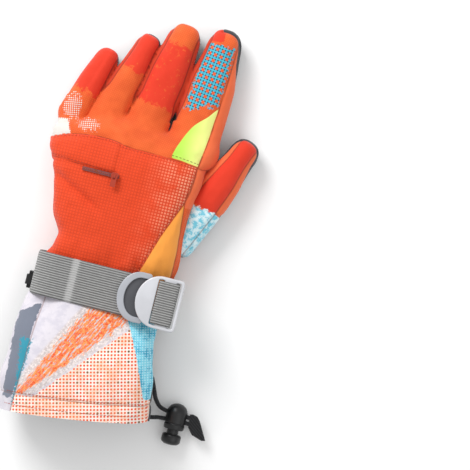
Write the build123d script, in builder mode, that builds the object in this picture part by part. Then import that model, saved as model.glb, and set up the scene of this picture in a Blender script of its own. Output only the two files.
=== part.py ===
from build123d import *

import os
from math import cos, pi, radians, sin, tan

# Ski glove, left hand, lying palm down. Millimetres, +Y to the fingertips, +X to the thumb,
# +Z up through the back of the hand. The origin is on the flat of the palm patch.

os.makedirs("parts", exist_ok=True)

# Layers, counted from the outside in
SHELL = 1.8
LAYER_GAP = 0.2
MEMBRANE = 0.5
PADDING = 2.4
FLEECE = 1.0
FINGER_PADDING = 2.2
PATCH = 1.2
TRIM = 1.2

# Heights
FLOOR_GAP = 0.2
BODY_LOW = PATCH + FLOOR_GAP
BACK_HEIGHT = 41.0
HAND_SPLIT = 15.2
CORNER_SHARE = 0.4
SMALLEST = 3.0

# Joints: half gap at the axis, and the angle each side is cut back
JOINT_GAP = 0.6
FLEX = 70
ARCH = 10
WRIST_SWING = 25
KNUCKLE_CLEAR = 4.0
CUT_SPARE = 1
SMALL_CUT = 1
SPREAD_CUT = 2
THUMB_SPREAD = 35
CUT_REACH = 60

# Hand sections from the wrist to the knuckles: y, left edge, right edge, bottom, top
WRIST_LOW = 3.4
WRIST_HIGH = 38.0
WRIST_LEFT = -45.5
WRIST_RIGHT = 43.0
WRIST_Y = -79.0
HAND_SECTIONS = [
    (-92.0, WRIST_LEFT, WRIST_RIGHT, WRIST_LOW, WRIST_HIGH),
    (-44.0, WRIST_LEFT, WRIST_RIGHT, WRIST_LOW, WRIST_HIGH),
    (-36.0, -41.5, 44.0, BODY_LOW, BACK_HEIGHT),
    (-20.0, -44.0, 42.5, BODY_LOW, BACK_HEIGHT),
    (-6.0, -48.0, 39.5, BODY_LOW, BACK_HEIGHT),
    (8.0, -53.0, 39.5, BODY_LOW, BACK_HEIGHT),
    (20.0, -57.5, 42.0, BODY_LOW, BACK_HEIGHT),
    (36.0, -60.0, 47.5, BODY_LOW, 38.0),
    (52.0, -59.5, 51.5, BODY_LOW, 30.0),
    (68.0, -57.0, 53.5, BODY_LOW, 25.0),
]

# Fingers: knuckle centre x and y, degrees off +Y, length to the middle joint, whole length,
# widths at the knuckle, the middle joint and the tip, and thickness
FINGERS = {
    "little": (-49.3, 58.5, 17.5, 22.0, 46.0, 18.5, 18.0, 13.5, 20.0),
    "ring": (-26.3, 61.0, 15.5, 29.5, 60.5, 22.5, 19.5, 14.0, 22.0),
    "middle": (1.0, 61.0, 9.8, 36.0, 71.5, 27.0, 27.0, 20.0, 23.6),
    "index": (35.3, 60.0, 3.5, 36.5, 74.5, 31.5, 30.5, 19.0, 23.6),
}
TIP_SHARE = 0.82

# Thumb: root x and y, degrees off +Y, then lengths from the root and its thickness
THUMB_ROOT = (35.0, -30.0)
THUMB_ANGLE = 23.0
THUMB_SPREAD_AT = 37.0
THUMB_BEND_AT = 69.0
THUMB_LENGTH = 101.0
THUMB_WIDTHS = (26.0, 20.5, 24.0, 17.0)
THUMB_THICK = 23.6

# Cuff sections from the wrist to the hem: y, left, right, bottom, top
CUFF_SECTIONS = [
    (-70.0, -46.0, 42.0, 1.0, 42.0),
    (-84.0, -49.0, 42.0, 1.0, 47.0),
    (-99.0, -51.5, 44.5, 0.0, 54.0),
    (-117.0, -52.5, 48.0, 0.0, 60.0),
    (-131.0, -54.0, 50.5, 0.0, 62.0),
    (-170.0, -53.0, 52.5, 0.0, 62.0),
]
HEM_POINT = (0.0, -149.3)
HEM_SLANT = 7.9
HEM_WIDTH = 12.0
CUFF_SPLIT = 24.0
CUFF_WALL = 1.6
CUFF_LINING = 1.6

# Wrist strap and its buckles
STRAP_WIDTH = 30.0
STRAP_THICK = 1.6
STRAP_Y = -59.0
STRAP_LEFT = -50.0
STRAP_RIGHT = 50.5
STRAP_LOW = 0.5
STRAP_TOP = 43.6
STRAP_CORNER = 15.0
BUCKLE_THICK = 3.2
BUCKLE_X = (23.0, 39.0, 54.0)
BUCKLE_TALL = 36.0
BUCKLE_BAR = (40.0, 49.0)
BUCKLE_SLOT = 3.6
SLIDER_X = (10.0, 24.5, 31.0)
SLIDER_TALL = 35.0
SLIDER_THICK = 2.4
SLIDER_FLOOR = 0.8
SLIDER_RIM = 4.5
SLIDER_LUG = (4.0, 1.4)
STRAP_SEAM_X = 8.0
LOOP_THICK = 1.1
LOOP_GAP = 0.2
CLEARANCE = 0.4

# Drawcord and its lock
CORD = 3.0
CORD_Z = 7.6
CORD_SPACING = 4.2
LOCK_X = 69.5
LOCK_RADIUS = 7.4
LOCK_Y = (-125.5, -144.0)
LOCK_SLOT_Y = (-131.2, -140.0)
LOCK_WALL = 1.6
LOCK_DOME = 4.0
LOCK_SLOT_TALL = 4.4
PLUNGER_RADIUS = 4.0
PLUNGER_TRAVEL = 3.0
PLUNGER_SPARE = 0.1
PLUNGER_CAP = (6.8, 7.5)
PLUNGER_CAP_ROUND = 2.5
CORD_MID_Y = (LOCK_SLOT_Y[0] + LOCK_SLOT_Y[1]) / 2
TAB_X = 78.5
TAB_THICK = 4.8
TAB_OUTLINE = [(78.5, -130.6), (84.5, -131.4), (93.5, -147.0), (83.0, -145.0), (78.5, -140.6)]
TAB_SOCKET = 3.05

# Pocket and zip
POCKET_Y = (-40.0, 39.0)
POCKET_RIGHT = 36.0
FLAP_Y = (20.0, 39.0)
ZIP_X = -11.0
FLAP_RIGHT = -13.0
PANEL_LOW = 22.0
ZIP_Y = 17.6
ZIP_TAPE = 3.6
ZIP_TAPE_LEFT = -34.0
ZIP_TAPE_THICK = 0.6
ZIP_TOOTH = (0.9, 2.0, 0.7)
ZIP_PITCH = 2.0
ZIP_BODY = (5.0, 4.6, 1.4)
ZIP_LUG = (1.2, 2.6, 1.6)
ZIP_PIN = 0.4
PULL_SIZE = (3.6, 8.2, 0.8)
PULL_FORK = (1.8, 4.4)

# Palm patch outline
PATCH_OUTLINE = [(-32, -34), (34, -34), (34, 18), (30, 44), (-40, 40), (-40, 6)]
PATCH_CORNER = 6.0

# Pair clip: outside box, the depth of its thumb dent, its eye and the loop through the eye
CLIP_X = (-53.6, -51.0)
CLIP_Y = (-72.0, -60.0)
CLIP_Z = (4.0, 19.0)
CLIP_DENT = 0.7
CLIP_DENT_Z = (8.0, 13.0)
CLIP_DENT_INSET = 3.0
CLIP_EYE_Z = (14.0, 17.5)
CLIP_EYE_INSET = 2.0
LOOP_CENTRE = (-52.1, 19.2)
LOOP_OUTSIDE = (5.4, 7.4)
LOOP_INSIDE = (3.8, 5.8)
LOOP_CORNER = 1.2
LOOP_WIDTH = 7.0


def heading(angle):
    """Give the unit direction that lies angle degrees off +Y towards +X."""
    return Vector(sin(radians(angle)), cos(radians(angle)), 0)


def along(start, angle, distance, height):
    """Give the point that lies distance along a heading, at a height."""
    ahead = heading(angle) * distance
    return Vector(start[0] + ahead.X, start[1] + ahead.Y, height)


def cross_plane(centre, angle):
    """Give the plane across a heading, with its x direction to the right."""
    return Plane(origin=centre, x_dir=heading(angle + 90), z_dir=heading(angle))


def side_plane(centre, angle):
    """Give the upright plane along a heading, with its x direction ahead and y up."""
    return Plane(origin=centre, x_dir=heading(angle), z_dir=heading(angle + 90))


def body_sections(rows):
    """Turn rows of y, left, right, bottom and top into sections along +Y."""
    sections = []
    for y, left, right, low, high in rows:
        centre = Vector((left + right) / 2, y, (low + high) / 2)
        sections.append((centre, 0, right - left, high - low))
    return sections


def finger_sections(start, angle, stations, thick, low, grow):
    """Give sections along a finger. The last station closes the tip and moves with grow."""
    sections = []
    last = len(stations) - 1
    for number, (distance, width, share) in enumerate(stations):
        reach = distance + grow if number == last else distance
        height = thick * share
        centre = along(start, angle, reach, low + thick / 2)
        sections.append((centre, angle, width, height))
    return sections


def tube(sections, grow):
    """Loft rounded sections, each grown outwards by grow, into one closed solid."""
    with BuildPart() as body:
        for centre, angle, width, height in sections:
            wide = max(width + 2 * grow, SMALLEST)
            tall = max(height + 2 * grow, SMALLEST)
            corner = min(CORNER_SHARE * min(width, height) + grow, 0.45 * min(wide, tall))
            with BuildSketch(cross_plane(centre, angle)):
                RectangleRounded(wide, tall, max(corner, 0.3 * SMALLEST))
        loft(ruled=True)
    return body.part


def vee(plane, back, palm, side, half_width):
    """Cut on one side of a hinge: side 1 clears what lies ahead, side -1 what lies behind."""
    top = side * (-JOINT_GAP - CUT_REACH * tan(radians(back)))
    low = side * (-JOINT_GAP - CUT_REACH * tan(radians(palm)))
    far = side * 3 * CUT_REACH
    with BuildPart() as wedge:
        with BuildSketch(plane):
            with BuildLine():
                Polyline(
                    (-side * JOINT_GAP, 0),
                    (top, CUT_REACH),
                    (far, CUT_REACH),
                    (far, -CUT_REACH),
                    (low, -CUT_REACH),
                    close=True,
                )
            make_face()
        extrude(amount=half_width, both=True)
    return wedge.part


def slab(x, y, z):
    """Give the box between low and high values of x, y and z."""
    with BuildPart() as block:
        with BuildSketch(Plane.XY.offset(z[0])):
            with Locations(((x[0] + x[1]) / 2, (y[0] + y[1]) / 2)):
                Rectangle(abs(x[1] - x[0]), abs(y[1] - y[0]))
        extrude(amount=z[1] - z[0])
    return block.part


def layer(outer, inner, cuts, within=None):
    """Hollow an outer solid by an inner one, take the cuts away and keep what is within."""
    with BuildPart() as piece:
        add(outer)
        add(inner, mode=Mode.SUBTRACT)
        for cut in cuts:
            add(cut, mode=Mode.SUBTRACT)
        if within is not None:
            add(within, mode=Mode.INTERSECT)
    return piece.part


def write(part, name):
    """Label a finished piece and write it as its own STEP file."""
    part.label = name
    export_step(part, "parts/" + name + ".step")


def half_space(height, above):
    """Give a large box above or below a height, for parting a shell in two."""
    z = (height, height + 200) if above else (height - 200, height)
    return slab((-300, 300), (-300, 300), z)


def write_halves(outer, inner, cuts, height, names):
    """Part a shell at a height and write its upper and lower pieces."""
    for name, above in zip(names, (True, False)):
        write(layer(outer, inner, cuts, half_space(height, above)), name)


# ---------------------------------------------------------------- depths of the layers
IN_MEMBRANE = -(SHELL + LAYER_GAP)
IN_PADDING = IN_MEMBRANE - MEMBRANE - LAYER_GAP
IN_FLEECE = IN_PADDING - PADDING - LAYER_GAP
CAVITY = IN_FLEECE - FLEECE

# ---------------------------------------------------------------- thumb stations
THUMB_MID_Z = BODY_LOW + THUMB_THICK / 2
THUMB_STUB = [
    (0.0, THUMB_WIDTHS[0], 1.0),
    (THUMB_SPREAD_AT + 12, THUMB_WIDTHS[1], 1.0),
]
THUMB_STATIONS = [
    (THUMB_SPREAD_AT - 12, THUMB_WIDTHS[1], 1.0),
    (THUMB_SPREAD_AT + 4, THUMB_WIDTHS[1], 1.0),
    (THUMB_BEND_AT, THUMB_WIDTHS[2], 1.0),
    (THUMB_LENGTH - 9, THUMB_WIDTHS[3] + 3, 0.9),
    (THUMB_LENGTH, THUMB_WIDTHS[3] * 0.6, 0.5),
]
SPREAD_POINT = along(THUMB_ROOT, THUMB_ANGLE, THUMB_SPREAD_AT, THUMB_MID_Z)
BEND_POINT = along(THUMB_ROOT, THUMB_ANGLE, THUMB_BEND_AT, THUMB_MID_Z)
SPREAD_PLANE = Plane(origin=SPREAD_POINT, x_dir=heading(THUMB_ANGLE), z_dir=(0, 0, 1))
BEND_PLANE = side_plane(BEND_POINT, THUMB_ANGLE)


# ---------------------------------------------------------------- hand
def thumb_tube(stations, grow):
    """Loft the thumb's tube through its stations."""
    sections = finger_sections(THUMB_ROOT, THUMB_ANGLE, stations, THUMB_THICK, BODY_LOW, grow)
    return tube(sections, grow)


def hand_solid(grow):
    """Join the hand and the root of the thumb into one solid."""
    with BuildPart() as hand:
        add(tube(body_sections(HAND_SECTIONS), grow))
        add(thumb_tube(THUMB_STUB, grow))
    return hand.part


def knuckle_cuts():
    """Cut the hand's finger end at each knuckle's own angle."""
    cuts = []
    for x, y, angle, _, _, knuckle_width, _, _, thick in FINGERS.values():
        centre = Vector(x, y, BODY_LOW + thick / 2)
        plane = side_plane(centre, angle)
        cuts.append(vee(plane, ARCH / 2, FLEX / 2 + CUT_SPARE, 1, knuckle_width / 2 + KNUCKLE_CLEAR))
    return cuts


def thumb_end_cut():
    """Cut the thumb's root where the thumb swings outwards."""
    return vee(SPREAD_PLANE, SPREAD_CUT, THUMB_SPREAD / 2 + CUT_SPARE, 1, CUT_REACH)


WRIST_PLANE = side_plane(Vector(0, WRIST_Y, (WRIST_LOW + WRIST_HIGH) / 2), 180)
WRIST_CUT = WRIST_SWING / 2 + CUT_SPARE
wrist_cut = vee(WRIST_PLANE, WRIST_CUT, WRIST_CUT, 1, 2 * CUT_REACH)
thumb_zone = slab((THUMB_ROOT[0] + 5, 200), (SPREAD_POINT.Y - 14, SPREAD_POINT.Y + 50), (-50, 100))
with BuildPart() as spread_clearance:
    add(thumb_end_cut())
    add(thumb_zone, mode=Mode.INTERSECT)
    add(tube(body_sections(HAND_SECTIONS), 0.0), mode=Mode.SUBTRACT)

hand_cuts = [wrist_cut, spread_clearance.part] + knuckle_cuts()
hand_outer = hand_solid(0.0)
write_halves(hand_outer, hand_solid(-SHELL), hand_cuts, HAND_SPLIT, ("back_shell", "palm_shell"))
write(layer(hand_solid(IN_MEMBRANE), hand_solid(IN_MEMBRANE - MEMBRANE), hand_cuts), "membrane_insert")
write(layer(hand_solid(IN_PADDING), hand_solid(IN_PADDING - PADDING), hand_cuts), "hand_insulation")
write(layer(hand_solid(IN_FLEECE), hand_solid(CAVITY), hand_cuts), "hand_fleece_lining")

# ---------------------------------------------------------------- palm patch
with BuildPart() as palm_patch:
    with BuildSketch(Plane.XY):
        with BuildLine():
            Polyline(*PATCH_OUTLINE, close=True)
        make_face()
        fillet(vertices(), radius=PATCH_CORNER)
    extrude(amount=PATCH)
write(palm_patch.part, "palm_patch")

# ---------------------------------------------------------------- pocket on the back
POCKET_GROW = LAYER_GAP + 0.1
FLAP_GROW = POCKET_GROW + TRIM + LAYER_GAP
hand_tube = body_sections(HAND_SECTIONS)


def back_panel(grow, thick, x, y, name):
    """Lay a sheet over the back of the hand between limits of x and y."""
    within = slab(x, y, (PANEL_LOW, 100))
    write(layer(tube(hand_tube, grow + thick), tube(hand_tube, grow), [], within), name)


back_panel(POCKET_GROW, TRIM, (-80, POCKET_RIGHT), POCKET_Y, "pocket_panel")
back_panel(FLAP_GROW, TRIM, (-80, FLAP_RIGHT), FLAP_Y, "pocket_flap")

ZIP_LOW = BACK_HEIGHT + POCKET_GROW + TRIM + LAYER_GAP
TEETH_LOW = ZIP_LOW + ZIP_TAPE_THICK
TAPE_X = (ZIP_TAPE_LEFT, ZIP_X + 3.0)
TEETH_X = (ZIP_TAPE_LEFT + 1.0, ZIP_X - 3.0)
tape_y = (ZIP_Y - ZIP_TAPE / 2, ZIP_Y + ZIP_TAPE / 2)
write(slab(TAPE_X, tape_y, (ZIP_LOW, TEETH_LOW)), "zip_tape")
with BuildPart() as zip_teeth:
    with BuildSketch(Plane.XY.offset(TEETH_LOW)):
        with Locations(((TEETH_X[0] + TEETH_X[1]) / 2, ZIP_Y)):
            with GridLocations(ZIP_PITCH, 1, int((TEETH_X[1] - TEETH_X[0]) / ZIP_PITCH), 1):
                Rectangle(ZIP_TOOTH[0], ZIP_TOOTH[1])
    extrude(amount=ZIP_TOOTH[2])
write(zip_teeth.part, "zip_teeth")

SLIDER_LOW = TEETH_LOW + ZIP_TOOTH[2] + 0.3
LUG_LOW = SLIDER_LOW + ZIP_BODY[2]
PULL_AXIS_Z = LUG_LOW + ZIP_LUG[2] / 2
with BuildPart() as zip_slider:
    with BuildSketch(Plane.XY.offset(SLIDER_LOW)):
        with Locations((ZIP_X, ZIP_Y)):
            RectangleRounded(ZIP_BODY[0], ZIP_BODY[1], 1.2)
    extrude(amount=ZIP_BODY[2])
    with BuildSketch(Plane.XY.offset(LUG_LOW)):
        with Locations((ZIP_X, ZIP_Y)):
            Rectangle(ZIP_LUG[0], ZIP_LUG[1])
    extrude(amount=ZIP_LUG[2])
    with BuildSketch(Plane.YZ.offset(ZIP_X)):
        with Locations((ZIP_Y, PULL_AXIS_Z)):
            Circle(ZIP_PIN + 0.1)
    extrude(amount=ZIP_BODY[0], both=True, mode=Mode.SUBTRACT)
write(zip_slider.part, "zip_slider")

with BuildPart() as zip_pull:
    with BuildSketch(Plane.XY.offset(PULL_AXIS_Z - PULL_SIZE[2] / 2)):
        with Locations((ZIP_X, ZIP_Y + 0.5 - PULL_SIZE[1] / 2)):
            RectangleRounded(PULL_SIZE[0], PULL_SIZE[1], 0.8)
        with Locations((ZIP_X, ZIP_Y - 0.4)):
            Rectangle(PULL_FORK[0], PULL_FORK[1], mode=Mode.SUBTRACT)
    extrude(amount=PULL_SIZE[2])
    with BuildSketch(Plane.YZ.offset(ZIP_X)):
        with Locations((ZIP_Y, PULL_AXIS_Z)):
            Circle(ZIP_PIN)
    extrude(amount=PULL_FORK[0] / 2 + 0.3, both=True)
write(zip_pull.part, "zip_pull")


# ---------------------------------------------------------------- fingers and thumb
def write_segment(name, stations_tube, cuts, split_height):
    """Write a finger segment: its back, its palm side and its padded lining."""
    outer = stations_tube(0.0)
    write_halves(outer, stations_tube(-SHELL), cuts, split_height, (name + "_back", name + "_palm"))
    lining = layer(stations_tube(IN_MEMBRANE), stations_tube(IN_MEMBRANE - FINGER_PADDING), cuts)
    write(lining, name + "_lining")


for finger, sizes in FINGERS.items():
    x, y, angle, middle, length, knuckle_width, mid_width, tip_width, thick = sizes
    stations = [
        (-14.0, knuckle_width, 1.0),
        (0.0, knuckle_width, 1.0),
        (middle, mid_width, 1.0),
        (length * TIP_SHARE, (mid_width + tip_width) / 2, 0.95),
        (length * 0.95, tip_width * 0.92, 0.75),
        (length, tip_width * 0.6, 0.42),
    ]
    height = BODY_LOW + thick / 2

    def finger_tube(grow, stations=stations, x=x, y=y, angle=angle, thick=thick):
        """Loft this finger's tube."""
        return tube(finger_sections((x, y), angle, stations, thick, BODY_LOW, grow), grow)

    knuckle = side_plane(Vector(x, y, height), angle)
    middle_joint = side_plane(along((x, y), angle, middle, height), angle)
    base_cuts = [
        vee(knuckle, ARCH / 2, FLEX / 2 + CUT_SPARE, -1, CUT_REACH),
        vee(middle_joint, SMALL_CUT, FLEX / 2 + CUT_SPARE, 1, CUT_REACH),
    ]
    tip_cuts = [vee(middle_joint, SMALL_CUT, FLEX / 2 + CUT_SPARE, -1, CUT_REACH)]
    write_segment(finger + "_base", finger_tube, base_cuts, height)
    write_segment(finger + "_tip", finger_tube, tip_cuts, height)

thumb_base_cuts = [
    vee(SPREAD_PLANE, SPREAD_CUT, THUMB_SPREAD / 2 + CUT_SPARE, -1, CUT_REACH),
    vee(BEND_PLANE, SMALL_CUT, FLEX / 2 + CUT_SPARE, 1, CUT_REACH),
]
thumb_tip_cuts = [vee(BEND_PLANE, SMALL_CUT, FLEX / 2 + CUT_SPARE, -1, CUT_REACH)]


def whole_thumb(grow):
    """Loft the moving part of the thumb."""
    return thumb_tube(THUMB_STATIONS, grow)


write_segment("thumb_base", whole_thumb, thumb_base_cuts, THUMB_MID_Z)
write_segment("thumb_tip", whole_thumb, thumb_tip_cuts, THUMB_MID_Z)

# ---------------------------------------------------------------- cuff
cuff_tube = body_sections(list(reversed(CUFF_SECTIONS)))
HEM_DIRECTION = heading(90 - HEM_SLANT)


def hem_cut(inset):
    """Clear everything beyond the slanted hem, inset towards the hand."""
    origin = (HEM_POINT[0], HEM_POINT[1] + inset, -50)
    plane = Plane(origin=origin, x_dir=HEM_DIRECTION, z_dir=(0, 0, 1))
    with BuildPart() as cut:
        with BuildSketch(plane):
            with Locations((0, -CUT_REACH)):
                Rectangle(400, 2 * CUT_REACH)
        extrude(amount=200)
    return cut.part


cuff_joint = vee(WRIST_PLANE, WRIST_CUT, WRIST_CUT, -1, 2 * CUT_REACH)
cuff_cuts = [cuff_joint, hem_cut(0)]
with BuildPart() as hem_groove:
    add(tube(cuff_tube, 1))
    add(tube(cuff_tube, -CUFF_WALL / 2), mode=Mode.SUBTRACT)
    add(hem_cut(HEM_WIDTH), mode=Mode.INTERSECT)
write_halves(
    tube(cuff_tube, 0.0),
    tube(cuff_tube, -CUFF_WALL),
    cuff_cuts + [hem_groove.part],
    CUFF_SPLIT,
    ("cuff_back_panel", "cuff_palm_panel"),
)
lining_low = -(CUFF_WALL + LAYER_GAP)
lining_outer = tube(cuff_tube, lining_low)
lining_inner = tube(cuff_tube, lining_low - CUFF_LINING)
write(layer(lining_outer, lining_inner, cuff_cuts), "cuff_lining")
with BuildPart() as cuff_hem:
    add(tube(cuff_tube, 0.0))
    add(tube(cuff_tube, -CUFF_WALL / 2 + 0.05), mode=Mode.SUBTRACT)
    add(hem_cut(0), mode=Mode.SUBTRACT)
    add(hem_cut(HEM_WIDTH - 0.1), mode=Mode.INTERSECT)
write(cuff_hem.part, "cuff_hem")

# ---------------------------------------------------------------- wrist strap
STRAP_SPAN = (STRAP_Y - STRAP_WIDTH / 2, STRAP_Y + STRAP_WIDTH / 2)
STRAP_CENTRE = ((STRAP_LEFT + STRAP_RIGHT) / 2, (STRAP_LOW + STRAP_TOP) / 2)


def strap_ring(cuts):
    """Wrap flat webbing round the wrist and cut it to the wanted run."""
    wide = STRAP_RIGHT - STRAP_LEFT
    tall = STRAP_TOP - STRAP_LOW
    with BuildPart() as ring:
        with BuildSketch(Plane.XZ.offset(-STRAP_SPAN[1])):
            with Locations(STRAP_CENTRE):
                RectangleRounded(wide, tall, STRAP_CORNER)
                RectangleRounded(
                    wide - 2 * STRAP_THICK,
                    tall - 2 * STRAP_THICK,
                    STRAP_CORNER - STRAP_THICK,
                    mode=Mode.SUBTRACT,
                )
        extrude(amount=STRAP_WIDTH)
        for cut in cuts:
            add(cut, mode=Mode.SUBTRACT)
    return ring.part


strap_end = BUCKLE_X[1] - 2
write(strap_ring([
    slab((STRAP_SEAM_X, 200), (-200, 200), (-20, STRAP_CENTRE[1])),
    slab((strap_end, 200), (-200, 200), (0, 100)),
]), "wrist_strap")
write(strap_ring([
    slab((-200, STRAP_SEAM_X + 0.1), (-200, 200), (-20, 100)),
    slab((0, 200), (-200, 200), (STRAP_TOP - STRAP_CORNER + 5, 100)),
]), "strap_anchor")

SLIDER_TOP_LOW = STRAP_TOP + CLEARANCE


def half_round(left, flat, right, tall):
    """Give the outline of a plate with a half round left end and a flat right end."""
    corner = (flat, STRAP_Y + tall / 2)
    foot = (flat, STRAP_Y - tall / 2)
    with BuildSketch() as outline:
        with BuildLine():
            ThreePointArc(corner, (left, STRAP_Y), foot)
            Polyline(foot, (right, foot[1]), (right, corner[1]), corner)
        make_face()
    return outline.sketch


with BuildPart() as strap_slider:
    with BuildSketch(Plane.XY.offset(SLIDER_TOP_LOW)):
        add(half_round(SLIDER_X[0], SLIDER_X[1], SLIDER_X[2], SLIDER_TALL))
    extrude(amount=SLIDER_THICK)
    with BuildSketch(Plane.XY.offset(SLIDER_TOP_LOW + SLIDER_FLOOR)):
        add(half_round(SLIDER_X[0] + SLIDER_RIM, SLIDER_X[1], SLIDER_X[2] + 1, SLIDER_TALL - 6))
    extrude(amount=SLIDER_THICK, mode=Mode.SUBTRACT)
    lug_reach = (SLIDER_X[1], SLIDER_X[1] + SLIDER_LUG[0])
    lug_low = STRAP_TOP - STRAP_THICK - CLEARANCE - SLIDER_LUG[1]
    for edge in (-1, 1):
        lug_y = sorted((STRAP_Y + edge * (STRAP_WIDTH / 2 + CLEARANCE), STRAP_Y + edge * SLIDER_TALL / 2))
        add(slab(lug_reach, lug_y, (lug_low, SLIDER_TOP_LOW + 0.5)))
    slider_span = (STRAP_Y - SLIDER_TALL / 2, STRAP_Y + SLIDER_TALL / 2)
    add(slab(lug_reach, slider_span, (lug_low, lug_low + SLIDER_LUG[1])))
write(strap_slider.part, "strap_slider")

BUCKLE_LOW = SLIDER_TOP_LOW + SLIDER_THICK + CLEARANCE
with BuildPart() as front_buckle:
    with BuildSketch(Plane.XY.offset(BUCKLE_LOW)):
        add(half_round(BUCKLE_X[0], BUCKLE_X[1], BUCKLE_X[2], BUCKLE_TALL))
        for slot_x in (BUCKLE_BAR[0] - BUCKLE_SLOT / 2, BUCKLE_BAR[1] + BUCKLE_SLOT / 2 - 0.8):
            with Locations((slot_x, STRAP_Y)):
                Rectangle(BUCKLE_SLOT, STRAP_WIDTH + 1.2, mode=Mode.SUBTRACT)
    extrude(amount=BUCKLE_THICK)
write(front_buckle.part, "front_buckle")

BAR_GAP = 0.3
BAR_RIGHT = BUCKLE_BAR[1] - 0.8
loop_z = (BUCKLE_LOW - LOOP_THICK - LOOP_GAP, BUCKLE_LOW + BUCKLE_THICK + LOOP_THICK + LOOP_GAP)
loop_x = (BUCKLE_BAR[0] - LOOP_THICK - BAR_GAP, BAR_RIGHT + LOOP_THICK + BAR_GAP)
with BuildPart() as buckle_loop:
    with BuildSketch(Plane.XZ.offset(-STRAP_SPAN[1])):
        with Locations(((loop_x[0] + loop_x[1]) / 2, (loop_z[0] + loop_z[1]) / 2)):
            RectangleRounded(loop_x[1] - loop_x[0], loop_z[1] - loop_z[0], LOOP_THICK)
            Rectangle(
                loop_x[1] - loop_x[0] - 2 * LOOP_THICK,
                loop_z[1] - loop_z[0] - 2 * LOOP_THICK,
                mode=Mode.SUBTRACT,
            )
    extrude(amount=STRAP_WIDTH)
write(buckle_loop.part, "buckle_loop")

# ---------------------------------------------------------------- pair clip
with BuildPart() as pair_clip:
    add(slab(CLIP_X, CLIP_Y, CLIP_Z))
    dent_y = (CLIP_Y[0] + CLIP_DENT_INSET, CLIP_Y[1] - CLIP_DENT_INSET)
    add(slab((CLIP_X[0] - 1, CLIP_X[0] + CLIP_DENT), dent_y, CLIP_DENT_Z), mode=Mode.SUBTRACT)
    eye_y = (CLIP_Y[0] + CLIP_EYE_INSET, CLIP_Y[1] - CLIP_EYE_INSET)
    add(slab((CLIP_X[0] - 1, CLIP_X[1] + 1), eye_y, CLIP_EYE_Z), mode=Mode.SUBTRACT)
write(pair_clip.part, "pair_clip")
with BuildPart() as clip_loop:
    with BuildSketch(Plane.XZ.offset(-((CLIP_Y[0] + CLIP_Y[1]) / 2 + LOOP_WIDTH / 2))):
        with Locations(LOOP_CENTRE):
            RectangleRounded(LOOP_OUTSIDE[0], LOOP_OUTSIDE[1], LOOP_CORNER)
            Rectangle(LOOP_INSIDE[0], LOOP_INSIDE[1], mode=Mode.SUBTRACT)
    extrude(amount=LOOP_WIDTH)
    add(strap_ring([]), mode=Mode.SUBTRACT)
write(clip_loop.part, "clip_loop")

# ---------------------------------------------------------------- drawcord, lock and tab
CORD_Y = (CORD_MID_Y + CORD_SPACING / 2, CORD_MID_Y - CORD_SPACING / 2)
CORD_END_X = TAB_X + 2
UPPER_CORD = [
    (46.8, -112.0, 16.0),
    (49.5, -118.5, 13.0),
    (52.5, -127.0, 8.4),
    (59.5, CORD_Y[0], CORD_Z),
    (CORD_END_X, CORD_Y[0], CORD_Z),
]
LOWER_CORD = [
    (47.0, -139.8, 10.2),
    (52.8, -139.6, 8.2),
    (58.2, CORD_Y[1], CORD_Z),
    (CORD_END_X, CORD_Y[1], CORD_Z),
]


def cord_tube(points, name):
    """Sweep a round cord along straight runs joined by tangent arcs, and print its arcs."""
    route = [Vector(*point) for point in points]
    radii = []
    for before, corner, after in zip(route, route[1:], route[2:]):
        turn = (corner - before).get_angle(after - corner)
        shorter = min((corner - before).length, (after - corner).length)
        radii.append(0.45 * shorter / tan(radians(turn / 2)))
    with BuildPart() as cord:
        with BuildLine() as path:
            FilletPolyline(*route, radius=radii)
        start = Plane(origin=route[0], z_dir=route[1] - route[0])
        with BuildSketch(start):
            Circle(CORD / 2)
        sweep(path=path.line)
    length = sum(edge.length for edge in path.line.edges())
    expected = pi * (CORD / 2) ** 2 * length
    print(name, "radii", [round(r, 1) for r in radii], "length", round(length, 1),
          "volume share", round(cord.part.volume / expected, 4))
    write(cord.part, name)


cord_tube(UPPER_CORD, "drawcord_upper")
cord_tube(LOWER_CORD, "drawcord_lower")

SLOT_Z = (CORD_Z - LOCK_SLOT_TALL / 2, CORD_Z + LOCK_SLOT_TALL / 2)
with BuildPart() as lock_barrel:
    with BuildSketch(Plane.XZ.offset(-LOCK_Y[0])):
        with Locations((LOCK_X, CORD_Z)):
            Circle(LOCK_RADIUS)
    extrude(amount=LOCK_Y[0] - LOCK_Y[1])
    fillet(lock_barrel.faces().sort_by(Axis.Y)[-1].edges(), radius=LOCK_DOME)
    with BuildSketch(Plane.XZ.offset(-(LOCK_Y[0] - LOCK_WALL))):
        with Locations((LOCK_X, CORD_Z)):
            Circle(PLUNGER_RADIUS + CLEARANCE)
    extrude(amount=40, mode=Mode.SUBTRACT)
    add(slab((40, 100), LOCK_SLOT_Y, SLOT_Z), mode=Mode.SUBTRACT)
write(lock_barrel.part, "lock_barrel")

PLUNGER_TOP = LOCK_Y[0] - LOCK_WALL - PLUNGER_TRAVEL - PLUNGER_SPARE
CAP_TOP = LOCK_Y[1] - PLUNGER_TRAVEL - CLEARANCE
with BuildPart() as lock_plunger:
    with BuildSketch(Plane.XZ.offset(-PLUNGER_TOP)):
        with Locations((LOCK_X, CORD_Z)):
            Circle(PLUNGER_RADIUS)
    extrude(amount=PLUNGER_TOP - CAP_TOP)
    with BuildSketch(Plane.XZ.offset(-CAP_TOP)):
        with Locations((LOCK_X, CORD_Z)):
            Circle(PLUNGER_CAP[0])
    extrude(amount=PLUNGER_CAP[1])
    fillet(lock_plunger.faces().sort_by(Axis.Y)[0].edges(), radius=PLUNGER_CAP_ROUND)
    plunger_slot = (CORD_Y[0] + CORD / 2 + PLUNGER_SPARE, LOCK_SLOT_Y[1] - PLUNGER_TRAVEL)
    add(slab((40, 100), plunger_slot, SLOT_Z), mode=Mode.SUBTRACT)
write(lock_plunger.part, "lock_plunger")

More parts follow.
